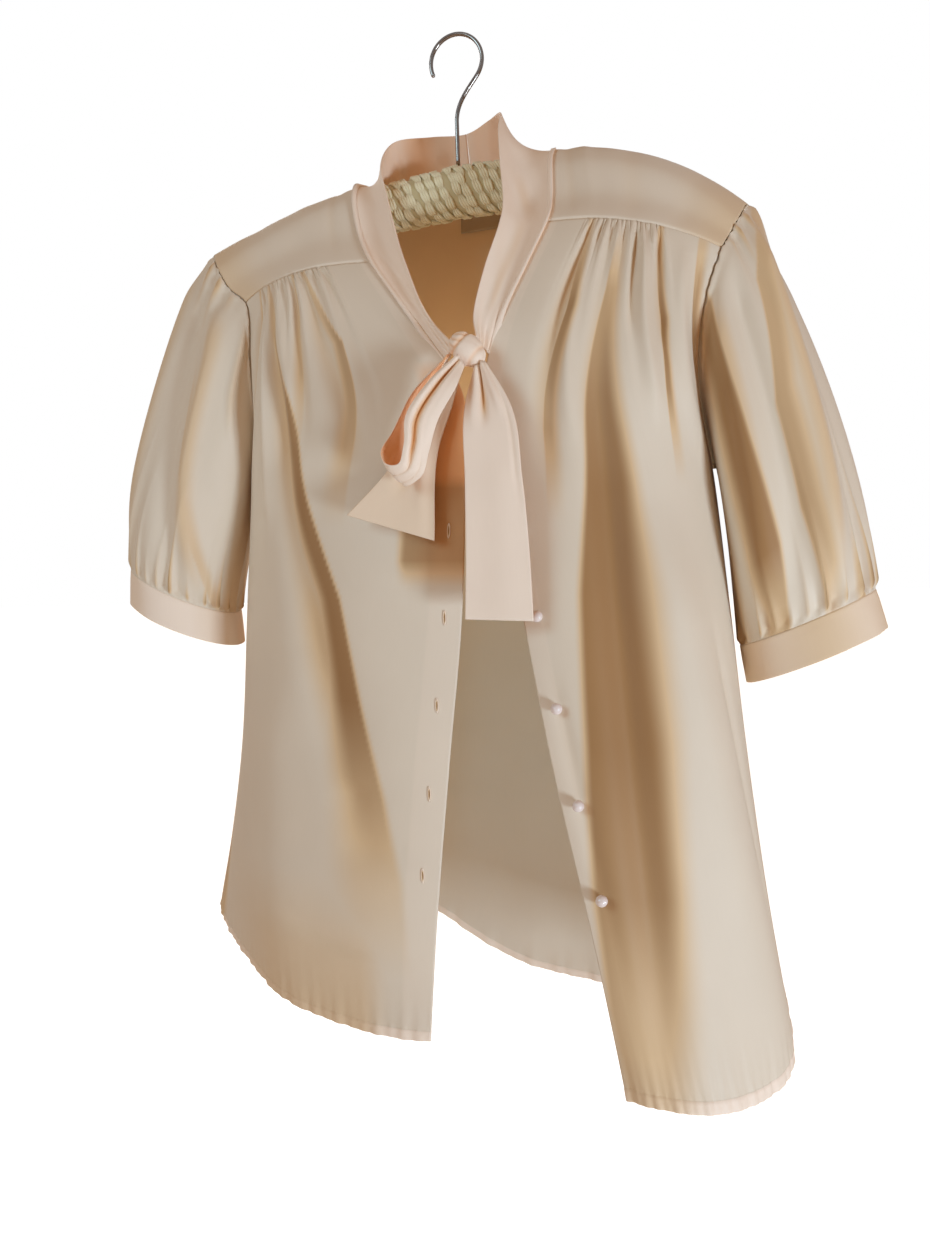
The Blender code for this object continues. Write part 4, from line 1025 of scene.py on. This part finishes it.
def crepe(name, grain, colours, roughness):
    """Crepe with soft sheen: single where one layer hangs, layered where it is doubled,
    painted half shade and then deep shade in the folds, and painted light where light would
    come through it."""
    made, tree, shader = new_material(name, roughness, 0.35)
    shader.inputs["Sheen Weight"].default_value = 0.35
    shader.inputs["Sheen Roughness"].default_value = 0.4
    shader.inputs["Sheen Tint"].default_value = (1.0, 0.95, 0.88, 1.0)
    pattern = tree.nodes.new("ShaderNodeGroup")
    pattern.node_tree = grain
    tree.links.new(cloth_place(tree), pattern.inputs["Place"])
    colour = blend_colours(tree, attribute(tree, "layered"), colours["single"], colours["layered"])
    # Painted shade darkens the colour, first to the half shade and then to the deep one, and painted light
    # turns it orange.
    depth = calculate(tree, "MULTIPLY", attribute(tree, "painted_shade"), 2.0)
    colour = blend_colours(tree, depth, colour, colours["painted_half_shade"])
    colour = blend_colours(tree, calculate(tree, "SUBTRACT", depth, 1.0), colour, colours["painted_shade"])
    colour = blend_colours(tree, attribute(tree, "painted_glow"), colour, colours["painted_glow"])
    tone = calculate(tree, "MULTIPLY_ADD", pattern.outputs["Tone"], 0.10)
    tone.node.inputs[2].default_value = 0.94
    mottle = tree.nodes.new("ShaderNodeCombineColor")
    for socket in mottle.inputs:
        tree.links.new(tone, socket)
    colour = blend_colours(tree, 1.0, colour, mottle.outputs[0], "MULTIPLY")
    tree.links.new(colour, shader.inputs["Base Color"])
    bump(tree, shader, pattern.outputs["Height"], 0.25, 0.00012)
    return made


# Pieces

def dress(piece, node):
    """The piece rides on the root and stands for that CAD node, which is hidden."""
    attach(piece, "root")
    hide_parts(node)
    return piece


def add_cloth(name, points, thickness, flat_size, finish, values, ring=False, turned=((0, 0), (0, 0))):
    """A shell that stands for the CAD node of that name. Turned is the number of the grid's
    first and last rows and columns that are seam allowances, whose values repeat the seam's."""
    def spread(value):
        if isinstance(value, tuple):
            return tuple(spread(one) for one in value)
        return np.pad(value, turned, "edge") if np.ndim(value) else value

    values = {key: spread(value) for key, value in values.items()}
    piece = shell(name + "_cloth", points, spread(thickness), flat_size, finish, values, ring)
    return dress(piece, name)


def fold_depth(height, depth=7.0):
    """How deep in a fold a point lies, 0 on a ridge to 1 at the deepest: the mask of painted shade and glow
    in folds.
    """
    return smooth(-height / depth)


def hem_layers(from_hem):
    """The share of a second layer near a hem: 1 up to the hem's depth and 0 above it."""
    return smooth((HEM_DEPTH - from_hem) / 0.6)


def hem_thickness(layered, from_hem):
    """The thickness of cloth with that share of a second layer, rounded off at the hem."""
    return (SINGLE + (DOUBLE - SINGLE) * layered) * rounded_off(from_hem, 0.2, 0.8)


def add_front(name, half, finish):
    """A front from its yoke seam to its hem, doubled at the hem and along its edge."""
    start = YOKE_END + (SEAM_GAP + SINGLE / 2) / PANEL_LENGTH
    lines = grid_lines(start, 1, 120, LINES_AT_SEAM, LINES_AT_HEM)
    c, v = np.meshgrid(np.linspace(0, 1, 221), lines)
    points, height, u = front_surface(half, c, v)
    from_hem, from_edge = (1 - v) * PANEL_LENGTH, (1 - u) * PANEL_WIDTH
    layered = np.maximum(hem_layers(from_hem), smooth((PLACKET_WIDTH - from_edge) / 3) * 0.2)
    # Painted shade in the folds and on the big folds' shaded sides, and on the right front the tie's painted
    # shadow and painted light where light comes through the tie.
    values = {
        "painted_shade": np.maximum(fold_depth(height, 9) * 0.7, shade(half["shades"], u, v)),
        "layered": layered,
        "painted_glow": shade(half["glows"], u, v),
    }
    return add_cloth(
        "front_" + name, turned_in(points), hem_thickness(layered, from_hem),
        (PANEL_WIDTH, PANEL_LENGTH), finish, values, turned=((1, 0), (0, 0)),
    )


def add_yoke(name, half, finish):
    """A front yoke of two layers, whose lower edge turns in at the gathered seam."""
    last = YOKE_END - DOUBLE / 2 / PANEL_LENGTH
    lines = grid_lines(0, last, 40, (), np.array([0.15, 0.4, 0.8, 1.2]) / PANEL_LENGTH)
    u, v = np.meshgrid(np.linspace(0, 1, 91), lines)
    height = fold_height(half["yoke_folds"], u, v) * smooth(v / 0.02)
    height = height + rolled((last - v) * PANEL_LENGTH, 1.2)
    points = lifted(lambda a, b: panel(half["front"], a, b), u, v, height, half["sign"])
    # Painted shade in the folds and towards the side.
    painted_shade = np.maximum(fold_depth(height, 5), 0.35 * (1 - smooth(u / 0.4)))
    values = {"painted_shade": painted_shade, "layered": 0.1}
    points = turned_in(points[::-1])[::-1]
    return add_cloth(
        "yoke_" + name, points, DOUBLE, (150, 92), finish, values, turned=((0, 1), (0, 0)),
    )


def add_back(finish):
    """The back, which starts just below the shoulder seams. Its outer layer has painted shade
    in the folds; its inner layer has painted shade, and up to the underarm painted light where
    some light would come through."""
    drop = np.array([0, 0.6, -ANGLED_SEAM_GAP])
    lines = grid_lines(0, 1, 130, (0.001, 0.002, 0.004), LINES_AT_HEM)
    c, v = np.meshgrid(np.linspace(0, 1, 241), lines)
    w = (2 * c - 1) * BACK_SIDE
    from_hem = (1 - v) * PANEL_LENGTH
    height = fold_height(FOLDS_BACK, w, v)
    height = height + hem_ripples(w * BACK_WIDTH, v, (1.2, 15, 14, 8), (0.35, 5.2, 3))
    points = lifted(back_surface, w, v, height, 1) + np.clip(1 - v / 0.05, 0, 1)[..., None] * drop
    layered = hem_layers(from_hem)
    inside = np.maximum(fold_depth(-height) * 0.3, smooth((0.42 - v) / 0.3) * 0.4)
    values = {
        "painted_shade": (fold_depth(height) * 0.6, inside),
        "layered": layered,
        "painted_glow": (0.0, smooth((0.36 - v) / 0.25) * 0.12),
    }
    thickness = hem_thickness(layered, from_hem)
    return add_cloth("back", points, thickness, (BACK_WIDTH, PANEL_LENGTH), finish, values)


def add_sleeve(name, half, finish):
    """A sleeve, whose top puffs out in a rim, but for the underarm, and turns in below the
    armhole's edge as a seam allowance."""
    side = half["sign"]
    lines = grid_lines(0, 1, 80, SLEEVE_LINES, (*SLEEVE_LINES, 0.04))
    c, t = np.meshgrid(np.arange(288) / 288, lines)
    points, folded, gathered, w = sleeve_surface(half, c, t)
    edge = points[:1]
    inwards = unit((edge.mean(1, keepdims=True) - edge) * np.array([0, 1, 1]))
    rim = peak(t, *CAP_RIM) * (0.75 + 0.35 * wander(c * 60, 4)) * smooth((1.1 - np.cos(TURN * w)) / 1.2)
    points = points + rim[..., None] * (np.array([-side * CAP_RIM_OVER, 0, 0]) - inwards * CAP_RIM_SWELL)
    under = edge + inwards * CAP_EDGE_SINK
    points = np.concatenate([under - np.array([side * ALLOWANCE, 0, 0]), under, points])
    # Painted shade in the folds and gathers and on the big folds' shaded sides.
    painted_shade = np.maximum(fold_depth(folded, 9) * 0.6, fold_depth(gathered, 2.6) * 0.9)
    values = {"painted_shade": np.maximum(painted_shade, shade(half["sleeve_shades"], w, t)), "layered": 0.0}
    return add_cloth(
        "sleeve_" + name, points, SINGLE, (SLEEVE_ROUND, SLEEVE_LENGTH), finish, values,
        ring=True, turned=((2, 0), (0, 0)),
    )


def add_cuff(name, half, finish):
    """A cuff of two layers with soft waves round it and a rounded lower edge."""
    side = half["sign"]
    lines = [0, 0.15, 0.4, 0.8, 1.3, *np.linspace(2, 25, 12), 26, 26.5, 26.8, CUFF_DEPTH]
    c, down = np.meshgrid(np.arange(192) / 192, SEAM_GAP + np.array(lines))
    points = cuff_ring(half["cuff"], side, c, down)
    outward = unit((points - points.mean((0, 1))) * np.array([1, 1, 0]))
    waves = 0.35 * np.sin(TURN * 9 * c + 2 * np.sin(TURN * 2 * c)) * smooth((down - 2) / 6)
    points = points + outward * (rolled(down - SEAM_GAP, 1.0) + waves)[..., None]
    thickness = DOUBLE * rounded_off(CUFF_DEPTH + SEAM_GAP - down, 0.15, 0.7)
    # Painted shade: a level share over the left cuff, and a wave of it round either cuff.
    values = {"painted_shade": 0.15 * (1 + side) + 0.1 * np.sin(TURN * 4 * c + side), "layered": 1.0}
    size = (CUFF_ROUND, CUFF_DEPTH)
    return add_cloth("cuff_" + name, points, thickness, size, finish, values, ring=True)


def add_collar(name, stations, finish):
    """Half of the neck band, doubled, with its seam's edge tucked in and a rounded fold
    along its free edge. Painted shade and painted light lie in its creases, and painted light
    over its inner layer."""
    across = grid_lines(0, 1, 40, (0.005, 0.012), (0.004, 0.01, 0.018, 0.03))
    u, t = np.meshgrid(across, stations)
    points, height = collar_surface(u, t)
    edge, next_in = points[:, :1], points[:, 1:2]
    out = unit(np.cross(np.gradient(edge, axis=0), next_in - edge))
    tucked = [edge + unit(edge - next_in) * reach - out * depth for reach, depth in COLLAR_TUCKS]
    inner = np.maximum(0.25 + 0.2 * smooth((t - COLLAR_MIDDLE) / 0.02), 0.6 * peak(t, *COLLAR_CURL))
    creased = fold_depth(height, 3)
    values = {"painted_shade": creased, "layered": 1.0, "painted_glow": (creased * 0.5, inner)}
    thickness = DOUBLE * rounded_off((1 - u) * COLLAR_WIDTH, 0.1, 0.8)
    return add_cloth(
        "collar_" + name, np.concatenate([*tucked, points], 1), thickness,
        (COLLAR_WIDTH, COLLAR_LENGTH / 2), finish, values, turned=((0, 0), (2, 0)),
    )


def add_ribbon(name, table, folds, outside, size, glows, shaded, finish):
    """A doubled tie piece with rounded edges. Its outer layer has painted light in the creases
    and its rear one all over, and painted shade lies in its creases and over a shaded piece."""
    ends = (0.01, 0.03, 0.06)
    u, t = np.meshgrid(grid_lines(-1, 1, 41, ends, ends), np.linspace(0, 1, 90))
    points, height = ribbon(table, folds, outside, u, t)
    thickness = DOUBLE * rounded_off((1 - np.abs(u)) * size[0] / 2, 0.1, 0.8)
    creased = fold_depth(height, 5)
    painted_glow = (creased * glows[0], glows[1])[::outside]
    values = {"painted_shade": creased * 0.7 + shaded, "layered": 1.0, "painted_glow": painted_glow}
    return add_cloth(name, points, thickness, size, finish, values)


def add_knot(finish):
    """The knot: a ball pressed to its half sizes. Its wrap is a smooth band between two sunk
    lines, and the crumpled end above it is raised in uneven pleats."""
    a, b = np.meshgrid(np.arange(120) * TURN / 120, np.linspace(KNOT_POLE, math.pi - KNOT_POLE, 70))
    above = smooth((-np.cos(b) - 0.30) / 0.25)
    pleats = np.abs(np.sin(4.5 * a + 1.3 * np.sin(3 * b))) ** 0.6 - 0.6
    band = peak(b, 2.0, 0.10) + 0.6 * peak(b, 0.95, 0.12)
    creases = np.abs(np.sin(1.5 * a + 0.9 * b)) ** 0.5 - 0.7
    radius = 0.97 + 0.13 * pleats * above * np.sin(b) - 0.10 * band + 0.05 * creases * (1 - above)
    ball = np.stack([np.cos(b), np.sin(b) * np.sin(a), np.sin(b) * np.cos(a)], -1) * radius[..., None]
    ball = np.concatenate([ball.reshape(-1, 3), [[0.96, 0, 0], [-0.96, 0, 0]]]) * np.array(KNOT_HALF_SIZES)
    cos, sin = math.cos(KNOT_TILT), math.sin(KNOT_TILT)
    points = ball @ np.array([[cos, 0, -sin], [0, 1, 0], [sin, 0, cos]]) + np.array(KNOT_CENTRE)
    rows, columns = a.shape
    size = np.array(KNOT_SIZE) / np.array([columns, rows])
    corners = grid_faces(rows, columns, True)[0]
    caps = pole_faces(rows, columns)
    uv = np.concatenate([corners[..., ::-1] * size, numbered_uv(caps, rows, columns, size)])
    # Painted shade and, more strongly, painted light in the wrap's sunk lines and among the pleats.
    painted_shade = np.append(np.clip(0.8 * band + above * (0.4 - pleats), 0, 1), [0.3, 0.3])
    values = {"painted_shade": painted_shade * 0.15, "layered": np.ones(len(ball)), "painted_glow": painted_shade * 0.6}
    piece = write_mesh("tie_knot_cloth", points, closed_faces(rows, columns), finish, uv, values)
    return dress(piece, "tie_knot")


def add_label(finish):
    """The blank label inside the back of the neck, made of the back's points moved inwards."""
    w, v = np.meshgrid(np.linspace(*LABEL_ACROSS, 25), np.linspace(*LABEL_DOWN, 12))
    points = lifted(back_surface, w, v, np.full_like(w, -LABEL_INWARDS), 1)
    piece = shell("neck_label_tape", points, LABEL_THICKNESS, LABEL_SIZE, finish, {})
    return dress(piece, "neck_label")


def surface_frame(half, u, v):
    """A point of a front's cloth, and as rows the directions across, down and outwards."""
    e = 2e-3
    grid_u, grid_v = np.meshgrid([u - e, u, u + e], [v - e, v, v + e])
    points = front_surface(half, grid_u, grid_v)[0]
    across = unit(points[1, 2] - points[1, 0]) * half["sign"]
    outward = unit(np.cross(across, points[2, 1] - points[0, 1]))
    return points[1, 1], np.array([across, np.cross(outward, across), outward])


def turned_profile(profile, count):
    """The grid of a profile of (radius, height) turned round the height's axis."""
    profile = np.array(profile)
    a = np.arange(count) * TURN / count
    ring = profile[:, None, :1] * np.stack([np.cos(a), np.sin(a)], -1)
    return np.concatenate([ring, np.repeat(profile[:, None, 1:], count, 1)], -1)


def add_buttons(finish):
    """Ball buttons on short waisted shanks along the left front's edge."""
    middle = SHANK_FOOT + SHANK_LENGTH + math.sqrt(BUTTON_RADIUS**2 - SHANK_RADIUS**2)
    turns = np.linspace(0, math.pi - math.asin(SHANK_RADIUS / BUTTON_RADIUS), 22)[1:]
    profile = [(BUTTON_RADIUS * math.sin(a), middle + BUTTON_RADIUS * math.cos(a)) for a in turns]
    profile = [*profile, (SHANK_RADIUS * 0.9, 1.2), (SHANK_RADIUS, 0.2), (SHANK_RADIUS, 0)]
    grid = turned_profile(profile, 32)[:, ::-1]
    faces = closed_faces(*grid.shape[:2])
    grid = np.concatenate([grid.reshape(-1, 3), [(0, 0, middle + BUTTON_RADIUS), (0, 0, 0)]])
    for number, level in enumerate(LEVELS, 1):
        edge, near = panel(FRONT_LEFT, np.array([1.0, 0.96]), np.array([level, level]))
        u = 1 - 0.04 * BUTTON_INSET / np.linalg.norm(edge - near)
        seat, axes = surface_frame(LEFT, u, level)
        points = seat + axes[2] * SINGLE / 2 + grid @ axes
        piece = write_mesh("button_" + str(number) + "_ball", points, faces, finish)
        dress(piece, "button_" + str(number))


def add_buttonholes(finish):
    """Five worked buttonholes on the right front: a slender pad of close stitches round a
    sunk slit. Rings shrink from the pad's rim over the stitches into the slit; each is its
    share of the half sizes, its height and its depth of shade."""
    profile = np.array([
        (0.98, -0.25, 0), (1, 0.1, 0), (0.9, 0.45, 0), (0.72, 0.5, 0.1), (0.5, 0.35, 0.5), (0.3, 0.05, 1),
    ])
    share, angle = np.meshgrid(profile[:, 0], np.arange(120) * TURN / 120, indexing="ij")
    stitches = np.sin(STITCHES_ROUND * angle) * smooth((share - 0.4) / 0.3)
    x = BUTTONHOLE_HALF_WIDTH * share * (1 + 0.05 * stitches) * np.cos(angle)
    y = np.sign(np.sin(angle)) * np.abs(np.sin(angle)) ** 0.9
    y = BUTTONHOLE_HALF_LENGTH * (0.25 + 0.75 * share) * y
    rise = profile[:, 1:2] + 0.06 * stitches
    grid = np.concatenate([np.stack([x, y, rise], -1).reshape(-1, 3), [(0, 0, -0.25), (0, 0, 0.05)]])
    faces = closed_faces(*angle.shape)
    painted_shade = np.append(np.repeat(profile[:, 2], angle.shape[1]), [0, 1])
    values = {"painted_shade": painted_shade, "layered": np.ones(len(grid))}
    for number, level in enumerate(LEVELS, 1):
        seat, axes = surface_frame(RIGHT, BUTTONHOLE_U, level)
        points = seat + axes[2] * DOUBLE / 2 + grid @ axes
        piece = write_mesh("buttonhole_" + str(number), points, faces, finish, grid[faces][..., :2], values)
        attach(piece, "root")


def ridge_height(x):
    """The height of the shoulders' ridge above x, level between the neck's two sides."""
    t = np.linspace(0, 1, 60)
    level = np.full_like(t, 0.021)
    left = panel(FRONT_LEFT, t[::-1], level)
    right = panel(FRONT_RIGHT, t, level)
    line = np.concatenate([right[:, [0, 2]], BAR_NECK_LINE, left[:, [0, 2]]])
    return np.interp(x, line[:, 0], line[:, 1])


def tubes(paths, radii, sides, up):
    """Closed round strands along paths, an array (strand, station, 3): each station's ring
    lies square to its path, which never runs along up, and a pole closes either end."""
    count, stations = paths.shape[:2]
    along = unit(np.gradient(paths, axis=1))
    first = unit(np.cross(along, up))
    second = np.cross(along, first)
    a = np.arange(sides) * TURN / sides
    ring = first[:, :, None] * np.cos(a)[:, None] + second[:, :, None] * np.sin(a)[:, None]
    rings = paths[:, :, None] + ring * np.asarray(radii)[..., None, None]
    vertices = np.concatenate([rings.reshape(count, -1, 3), paths[:, :1], paths[:, -1:]], 1)
    faces = closed_faces(stations, sides)
    steps = (np.arange(count) * (stations * sides + 2))[:, None, None]
    return vertices.reshape(-1, 3), np.where(faces < 0, -1, faces + steps).reshape(-1, 4)


def hook_line(steps):
    """The hook's centre line: an arc from its tip, a bend and the straight stem."""
    radius = HOOK_INNER_RADIUS + WIRE_DIAMETER / 2
    angles = np.linspace(HOOK_TIP, HOOK_TURN_OFF, steps)
    ring = np.stack([radius * np.cos(angles), -HOOK_INNER_RADIUS + radius * np.sin(angles)], -1)
    leaves = np.array([math.sin(HOOK_TURN_OFF), -math.cos(HOOK_TURN_OFF)]) * BEND_HANDLES[0]
    stem = np.array(STEM_TOP)
    arrives = np.array([0, BEND_HANDLES[1]])
    bend = bezier(ring[-1], ring[-1] + leaves, stem + arrives, stem, np.linspace(0, 1, 24)[1:])
    foot = ridge_height(STEM_TOP[0]) - BAR_CLEARANCE + STEM_FOOT_GAP
    down = np.stack([np.full(8, STEM_TOP[0]), np.linspace(STEM_TOP[1], foot, 9)[1:]], -1)
    line = np.concatenate([ring, bend, down])
    return np.stack([line[:, 0], 0 * line[:, 0], line[:, 1]], -1)


def add_hook(finish):
    """The wire hook, with a rounded tip."""
    line = hook_line(90)
    tip = unit(line[0] - line[1])
    rounding = np.array([1.0, 0.92, 0.7, 0.4])
    path = np.concatenate([line[0] + tip * rounding[:, None] * WIRE_DIAMETER / 2, line])
    radii = np.full(len(path), WIRE_DIAMETER / 2)
    radii[:len(rounding)] *= np.sqrt(1.0001 - rounding**2)
    vertices, faces = tubes(path[None], radii[None], 24, np.array([0.0, 1.0, 0.0]))
    piece = write_mesh("hanger_hook_wire", vertices, faces, finish)
    return dress(piece, "hanger_hook")


def bar_points(x, turn, raised):
    """The bar's surface at x and at an angle round it, raised by that much."""
    half = spline(BAR, x)[..., 0]
    top = ridge_height(x) - BAR_CLEARANCE
    y = BAR_DEPTH_SHARE * (half + raised) * np.sin(turn)
    z = top - half + (half + raised) * np.cos(turn)
    return np.stack([x, y, z], -1)


def add_bar(finish):
    """The crochet cover: a core, and on it rows of leaning stitches, each a bundle of
    strands that rise from the core, bow over it and sink in again, no two quite alike."""
    first, last = BAR[0][0], BAR[-1][0]
    a, core_x = np.meshgrid(np.arange(24) * TURN / 24, np.linspace(first + 1, last - 1, 90))
    core = bar_points(core_x, -a, CORE_SINK)
    core_faces = closed_faces(*core.shape[:2])
    core = np.concatenate([core.reshape(-1, 3), core[0].mean(0)[None], core[-1].mean(0)[None]])
    columns = int((last - first - 2 * BAR_END) / STITCH_PITCH)
    column, row, strand = np.meshgrid(
        np.arange(columns), np.arange(STITCH_ROWS), np.arange(STRANDS_PER_STITCH), indexing="ij",
    )
    column, row, strand = (index.reshape(-1, 1) for index in (column, row, strand))
    place = column * 1.7 + row * 5.3
    t = np.linspace(0, 1, 7)
    bow = np.sin(math.pi * t)
    start = first + BAR_END + (column + 0.5 * (row % 2) + 0.30 * wander(place, 1)) * STITCH_PITCH
    lean = STITCH_LEAN * (1 + 0.4 * wander(place + 2, 3))
    sway = (strand - (STRANDS_PER_STITCH - 1) / 2) * STRAND_SPREAD * (0.30 + 0.70 * bow)
    x = start + (t - 0.5) * lean + sway
    turn = -(row + 0.30 * wander(place, 6) + (t - 0.5) * 1.5) * TURN / STITCH_ROWS
    paths = bar_points(x, turn, STRAND_SINK + (STRAND_RISE + 0.9 * wander(place, 4)) * bow)
    radii = np.broadcast_to(STRAND_RADIUS * (0.5 + 0.5 * bow), paths.shape[:2])
    up = np.stack([0 * turn, np.sin(turn), np.cos(turn)], -1)
    vertices, faces = tubes(paths, radii, STRAND_SIDES, up)
    height = np.append(np.repeat(bow, STRAND_SIDES), [0, 0]) * (0.85 + 0.15 * wander(place, 5))
    faces = np.concatenate([core_faces, np.where(faces < 0, -1, faces + len(core))])
    values = {"raised": np.append(np.zeros(len(core)), height)}
    vertices = np.concatenate([core, vertices])
    piece = write_mesh("hanger_bar_crochet", vertices, faces, finish, None, values)
    return dress(piece, "hanger_bar")


def yarn_material():
    """Cotton yarn: cream with a green-yellow cast, with painted shade darker down between the
    stitches, and fine twisted fibres."""
    made, tree, shader = new_material("crochet yarn", 0.95, 0.2)
    shader.inputs["Sheen Weight"].default_value = 0.4
    place = object_place(tree)
    colour = blend_colours(tree, noise(tree, place, 60.0), (1.0, 0.92, 0.66, 1), (0.94, 0.90, 0.66, 1))
    # Painted shade: the core and the strands' low ends take a dark brown.
    colour = blend_colours(tree, attribute(tree, "raised"), (0.62, 0.52, 0.30, 1), colour)
    tree.links.new(colour, shader.inputs["Base Color"])
    bump(tree, shader, noise(tree, place, 1400.0, 4.0), 0.5, 0.0004)
    return made


def wire_material():
    """Polished wire with rubbed patches, which are duller and lighter."""
    made, tree, shader = new_material("polished wire", 0.18, 0.5, 1.0)
    patches = noise(tree, object_place(tree), 180.0, 3.0)
    colour = blend_colours(tree, patches, (0.20, 0.17, 0.15, 1), (0.42, 0.35, 0.30, 1))
    tree.links.new(colour, shader.inputs["Base Color"])
    tree.links.new(calculate(tree, "MULTIPLY", patches, 0.4), shader.inputs["Roughness"])
    return made


def button_material():
    """Pearly shell: pinkish white with soft clouds under a clear gloss."""
    made, tree, shader = new_material("button shell", 0.3, 0.5)
    shader.inputs["Coat Weight"].default_value = 0.5
    clouds = noise(tree, object_place(tree), 260.0, 3.0)
    colour = blend_colours(tree, clouds, (0.82, 0.66, 0.60, 1), (0.90, 0.80, 0.76, 1))
    tree.links.new(colour, shader.inputs["Base Color"])
    return made


def label_material():
    """Woven tape: fine upright threads, brownish in the shade."""
    made, tree, shader = new_material("label tape", 0.6, 0.3)
    wave = tree.nodes.new("ShaderNodeTexWave")
    wave.inputs["Scale"].default_value = 900.0
    tree.links.new(cloth_place(tree), wave.inputs["Vector"])
    threads = wave.outputs[1]
    colour = blend_colours(tree, threads, (0.42, 0.30, 0.18, 1), (0.50, 0.37, 0.24, 1))
    tree.links.new(colour, shader.inputs["Base Color"])
    bump(tree, shader, threads, 0.3, 0.0001)
    return made


# Stage

def camera_axes():
    """The camera's directions to its right, up and back, from its yaw, pitch and roll."""
    back = np.array([
        math.sin(CAMERA_YAW) * math.cos(CAMERA_PITCH),
        -math.cos(CAMERA_YAW) * math.cos(CAMERA_PITCH),
        math.sin(CAMERA_PITCH),
    ])
    right = unit(np.cross(-back, np.array([0.0, 0.0, 1.0])))
    up = np.cross(right, -back)
    cos, sin = math.cos(CAMERA_ROLL), math.sin(CAMERA_ROLL)
    return cos * right + sin * up, cos * up - sin * right, back


def add_camera():
    """The photograph's viewpoint."""
    data = bpy.data.cameras.new("camera")
    data.sensor_width = SENSOR
    data.lens = FOCAL_PIXELS / PICTURE_HEIGHT * SENSOR
    data.clip_end = 50
    camera = add_object("camera", data)
    axes = camera_axes()
    place = (np.array(CAMERA_TARGET) + axes[2] * CAMERA_DISTANCE) * MM
    rows = [(*row, at) for row, at in zip(np.stack(axes, 1), place)]
    camera.matrix_world = mathutils.Matrix([*rows, (0, 0, 0, 1)])
    bpy.context.scene.camera = camera


def add_light(name, place, target, size, power, colour):
    """A square area light at place that looks at target, in metres and watts."""
    data = bpy.data.lights.new(name, "AREA")
    data.size = size
    data.energy = power
    data.color = colour
    light = add_object(name, data)
    light.visible_camera = False
    light.location = place
    look = mathutils.Vector(target) - mathutils.Vector(place)
    light.rotation_euler = look.to_track_quat("-Z", "Y").to_euler()


def add_floor():
    """A pale floor far below the blouse, which the camera sees as white."""
    mesh = bpy.data.meshes.new("floor")
    size, level = 30.0, FLOOR_LEVEL * MM
    corners = [(-size, -size, level), (size, -size, level), (size, size, level), (-size, size, level)]
    mesh.from_pydata(corners, [], [(0, 1, 2, 3)])
    made, tree, shader = new_material("pale floor", 0.9, 0.1)
    shader.inputs["Base Color"].default_value = (0.9, 0.9, 0.9, 1)
    shader.inputs["Emission Color"].default_value = (1, 1, 1, 1)
    seen = tree.nodes.new("ShaderNodeLightPath")
    tree.links.new(seen.outputs["Is Camera Ray"], shader.inputs["Emission Strength"])
    mesh.materials.append(made)
    add_object("floor", mesh)


def add_surround():
    """A surround that lights the blouse warmly, mirrors grey and is white to the camera."""
    world = bpy.data.worlds.new("studio")
    world.use_nodes = True
    tree = world.node_tree
    tree.nodes.clear()
    path = tree.nodes.new("ShaderNodeLightPath")
    shades = []
    for colour, strength in SURROUND:
        node = tree.nodes.new("ShaderNodeBackground")
        node.inputs["Color"].default_value = colour
        node.inputs["Strength"].default_value = strength
        shades.append(node.outputs[0])
    mixed = shades[0]
    for ray, shown in (("Is Glossy Ray", shades[1]), ("Is Camera Ray", shades[2])):
        node = tree.nodes.new("ShaderNodeMixShader")
        for number, source in enumerate((path.outputs[ray], mixed, shown)):
            tree.links.new(source, node.inputs[number])
        mixed = node.outputs[0]
    tree.links.new(mixed, tree.nodes.new("ShaderNodeOutputWorld").inputs["Surface"])
    bpy.context.scene.world = world
    bpy.context.scene.view_settings.view_transform = "Standard"


def main():
    """The camera, every piece, most in place of a CAD node, and the stage."""
    finish = crepe("peach crepe", crepe_grain_group(), CREPE_COLOURS, 0.6)
    add_camera()
    for name, half in (("left", LEFT), ("right", RIGHT)):
        front = add_front(name, half, finish)
        yoke = add_yoke(name, half, finish)
        arm = add_sleeve(name, half, finish)
        band = add_cuff(name, half, finish)
    add_back(finish)
    ends = {"right": (0, COLLAR_MIDDLE - HALF_SEAM), "left": (COLLAR_MIDDLE + HALF_SEAM, 1)}
    for name, (start, end) in ends.items():
        collar = add_collar(name, np.linspace(start, end, 150), finish)
    for name, table, folds, outside, size, area, glows, shaded in RIBBONS:
        piece = add_ribbon(name, table, folds, outside, size, glows, shaded, finish)
    add_knot(finish)
    add_label(label_material())
    add_buttons(button_material())
    add_buttonholes(finish)
    add_hook(wire_material())
    add_bar(yarn_material())
    add_floor()
    add_surround()
    for light in LIGHTS:
        add_light(*light)


main()
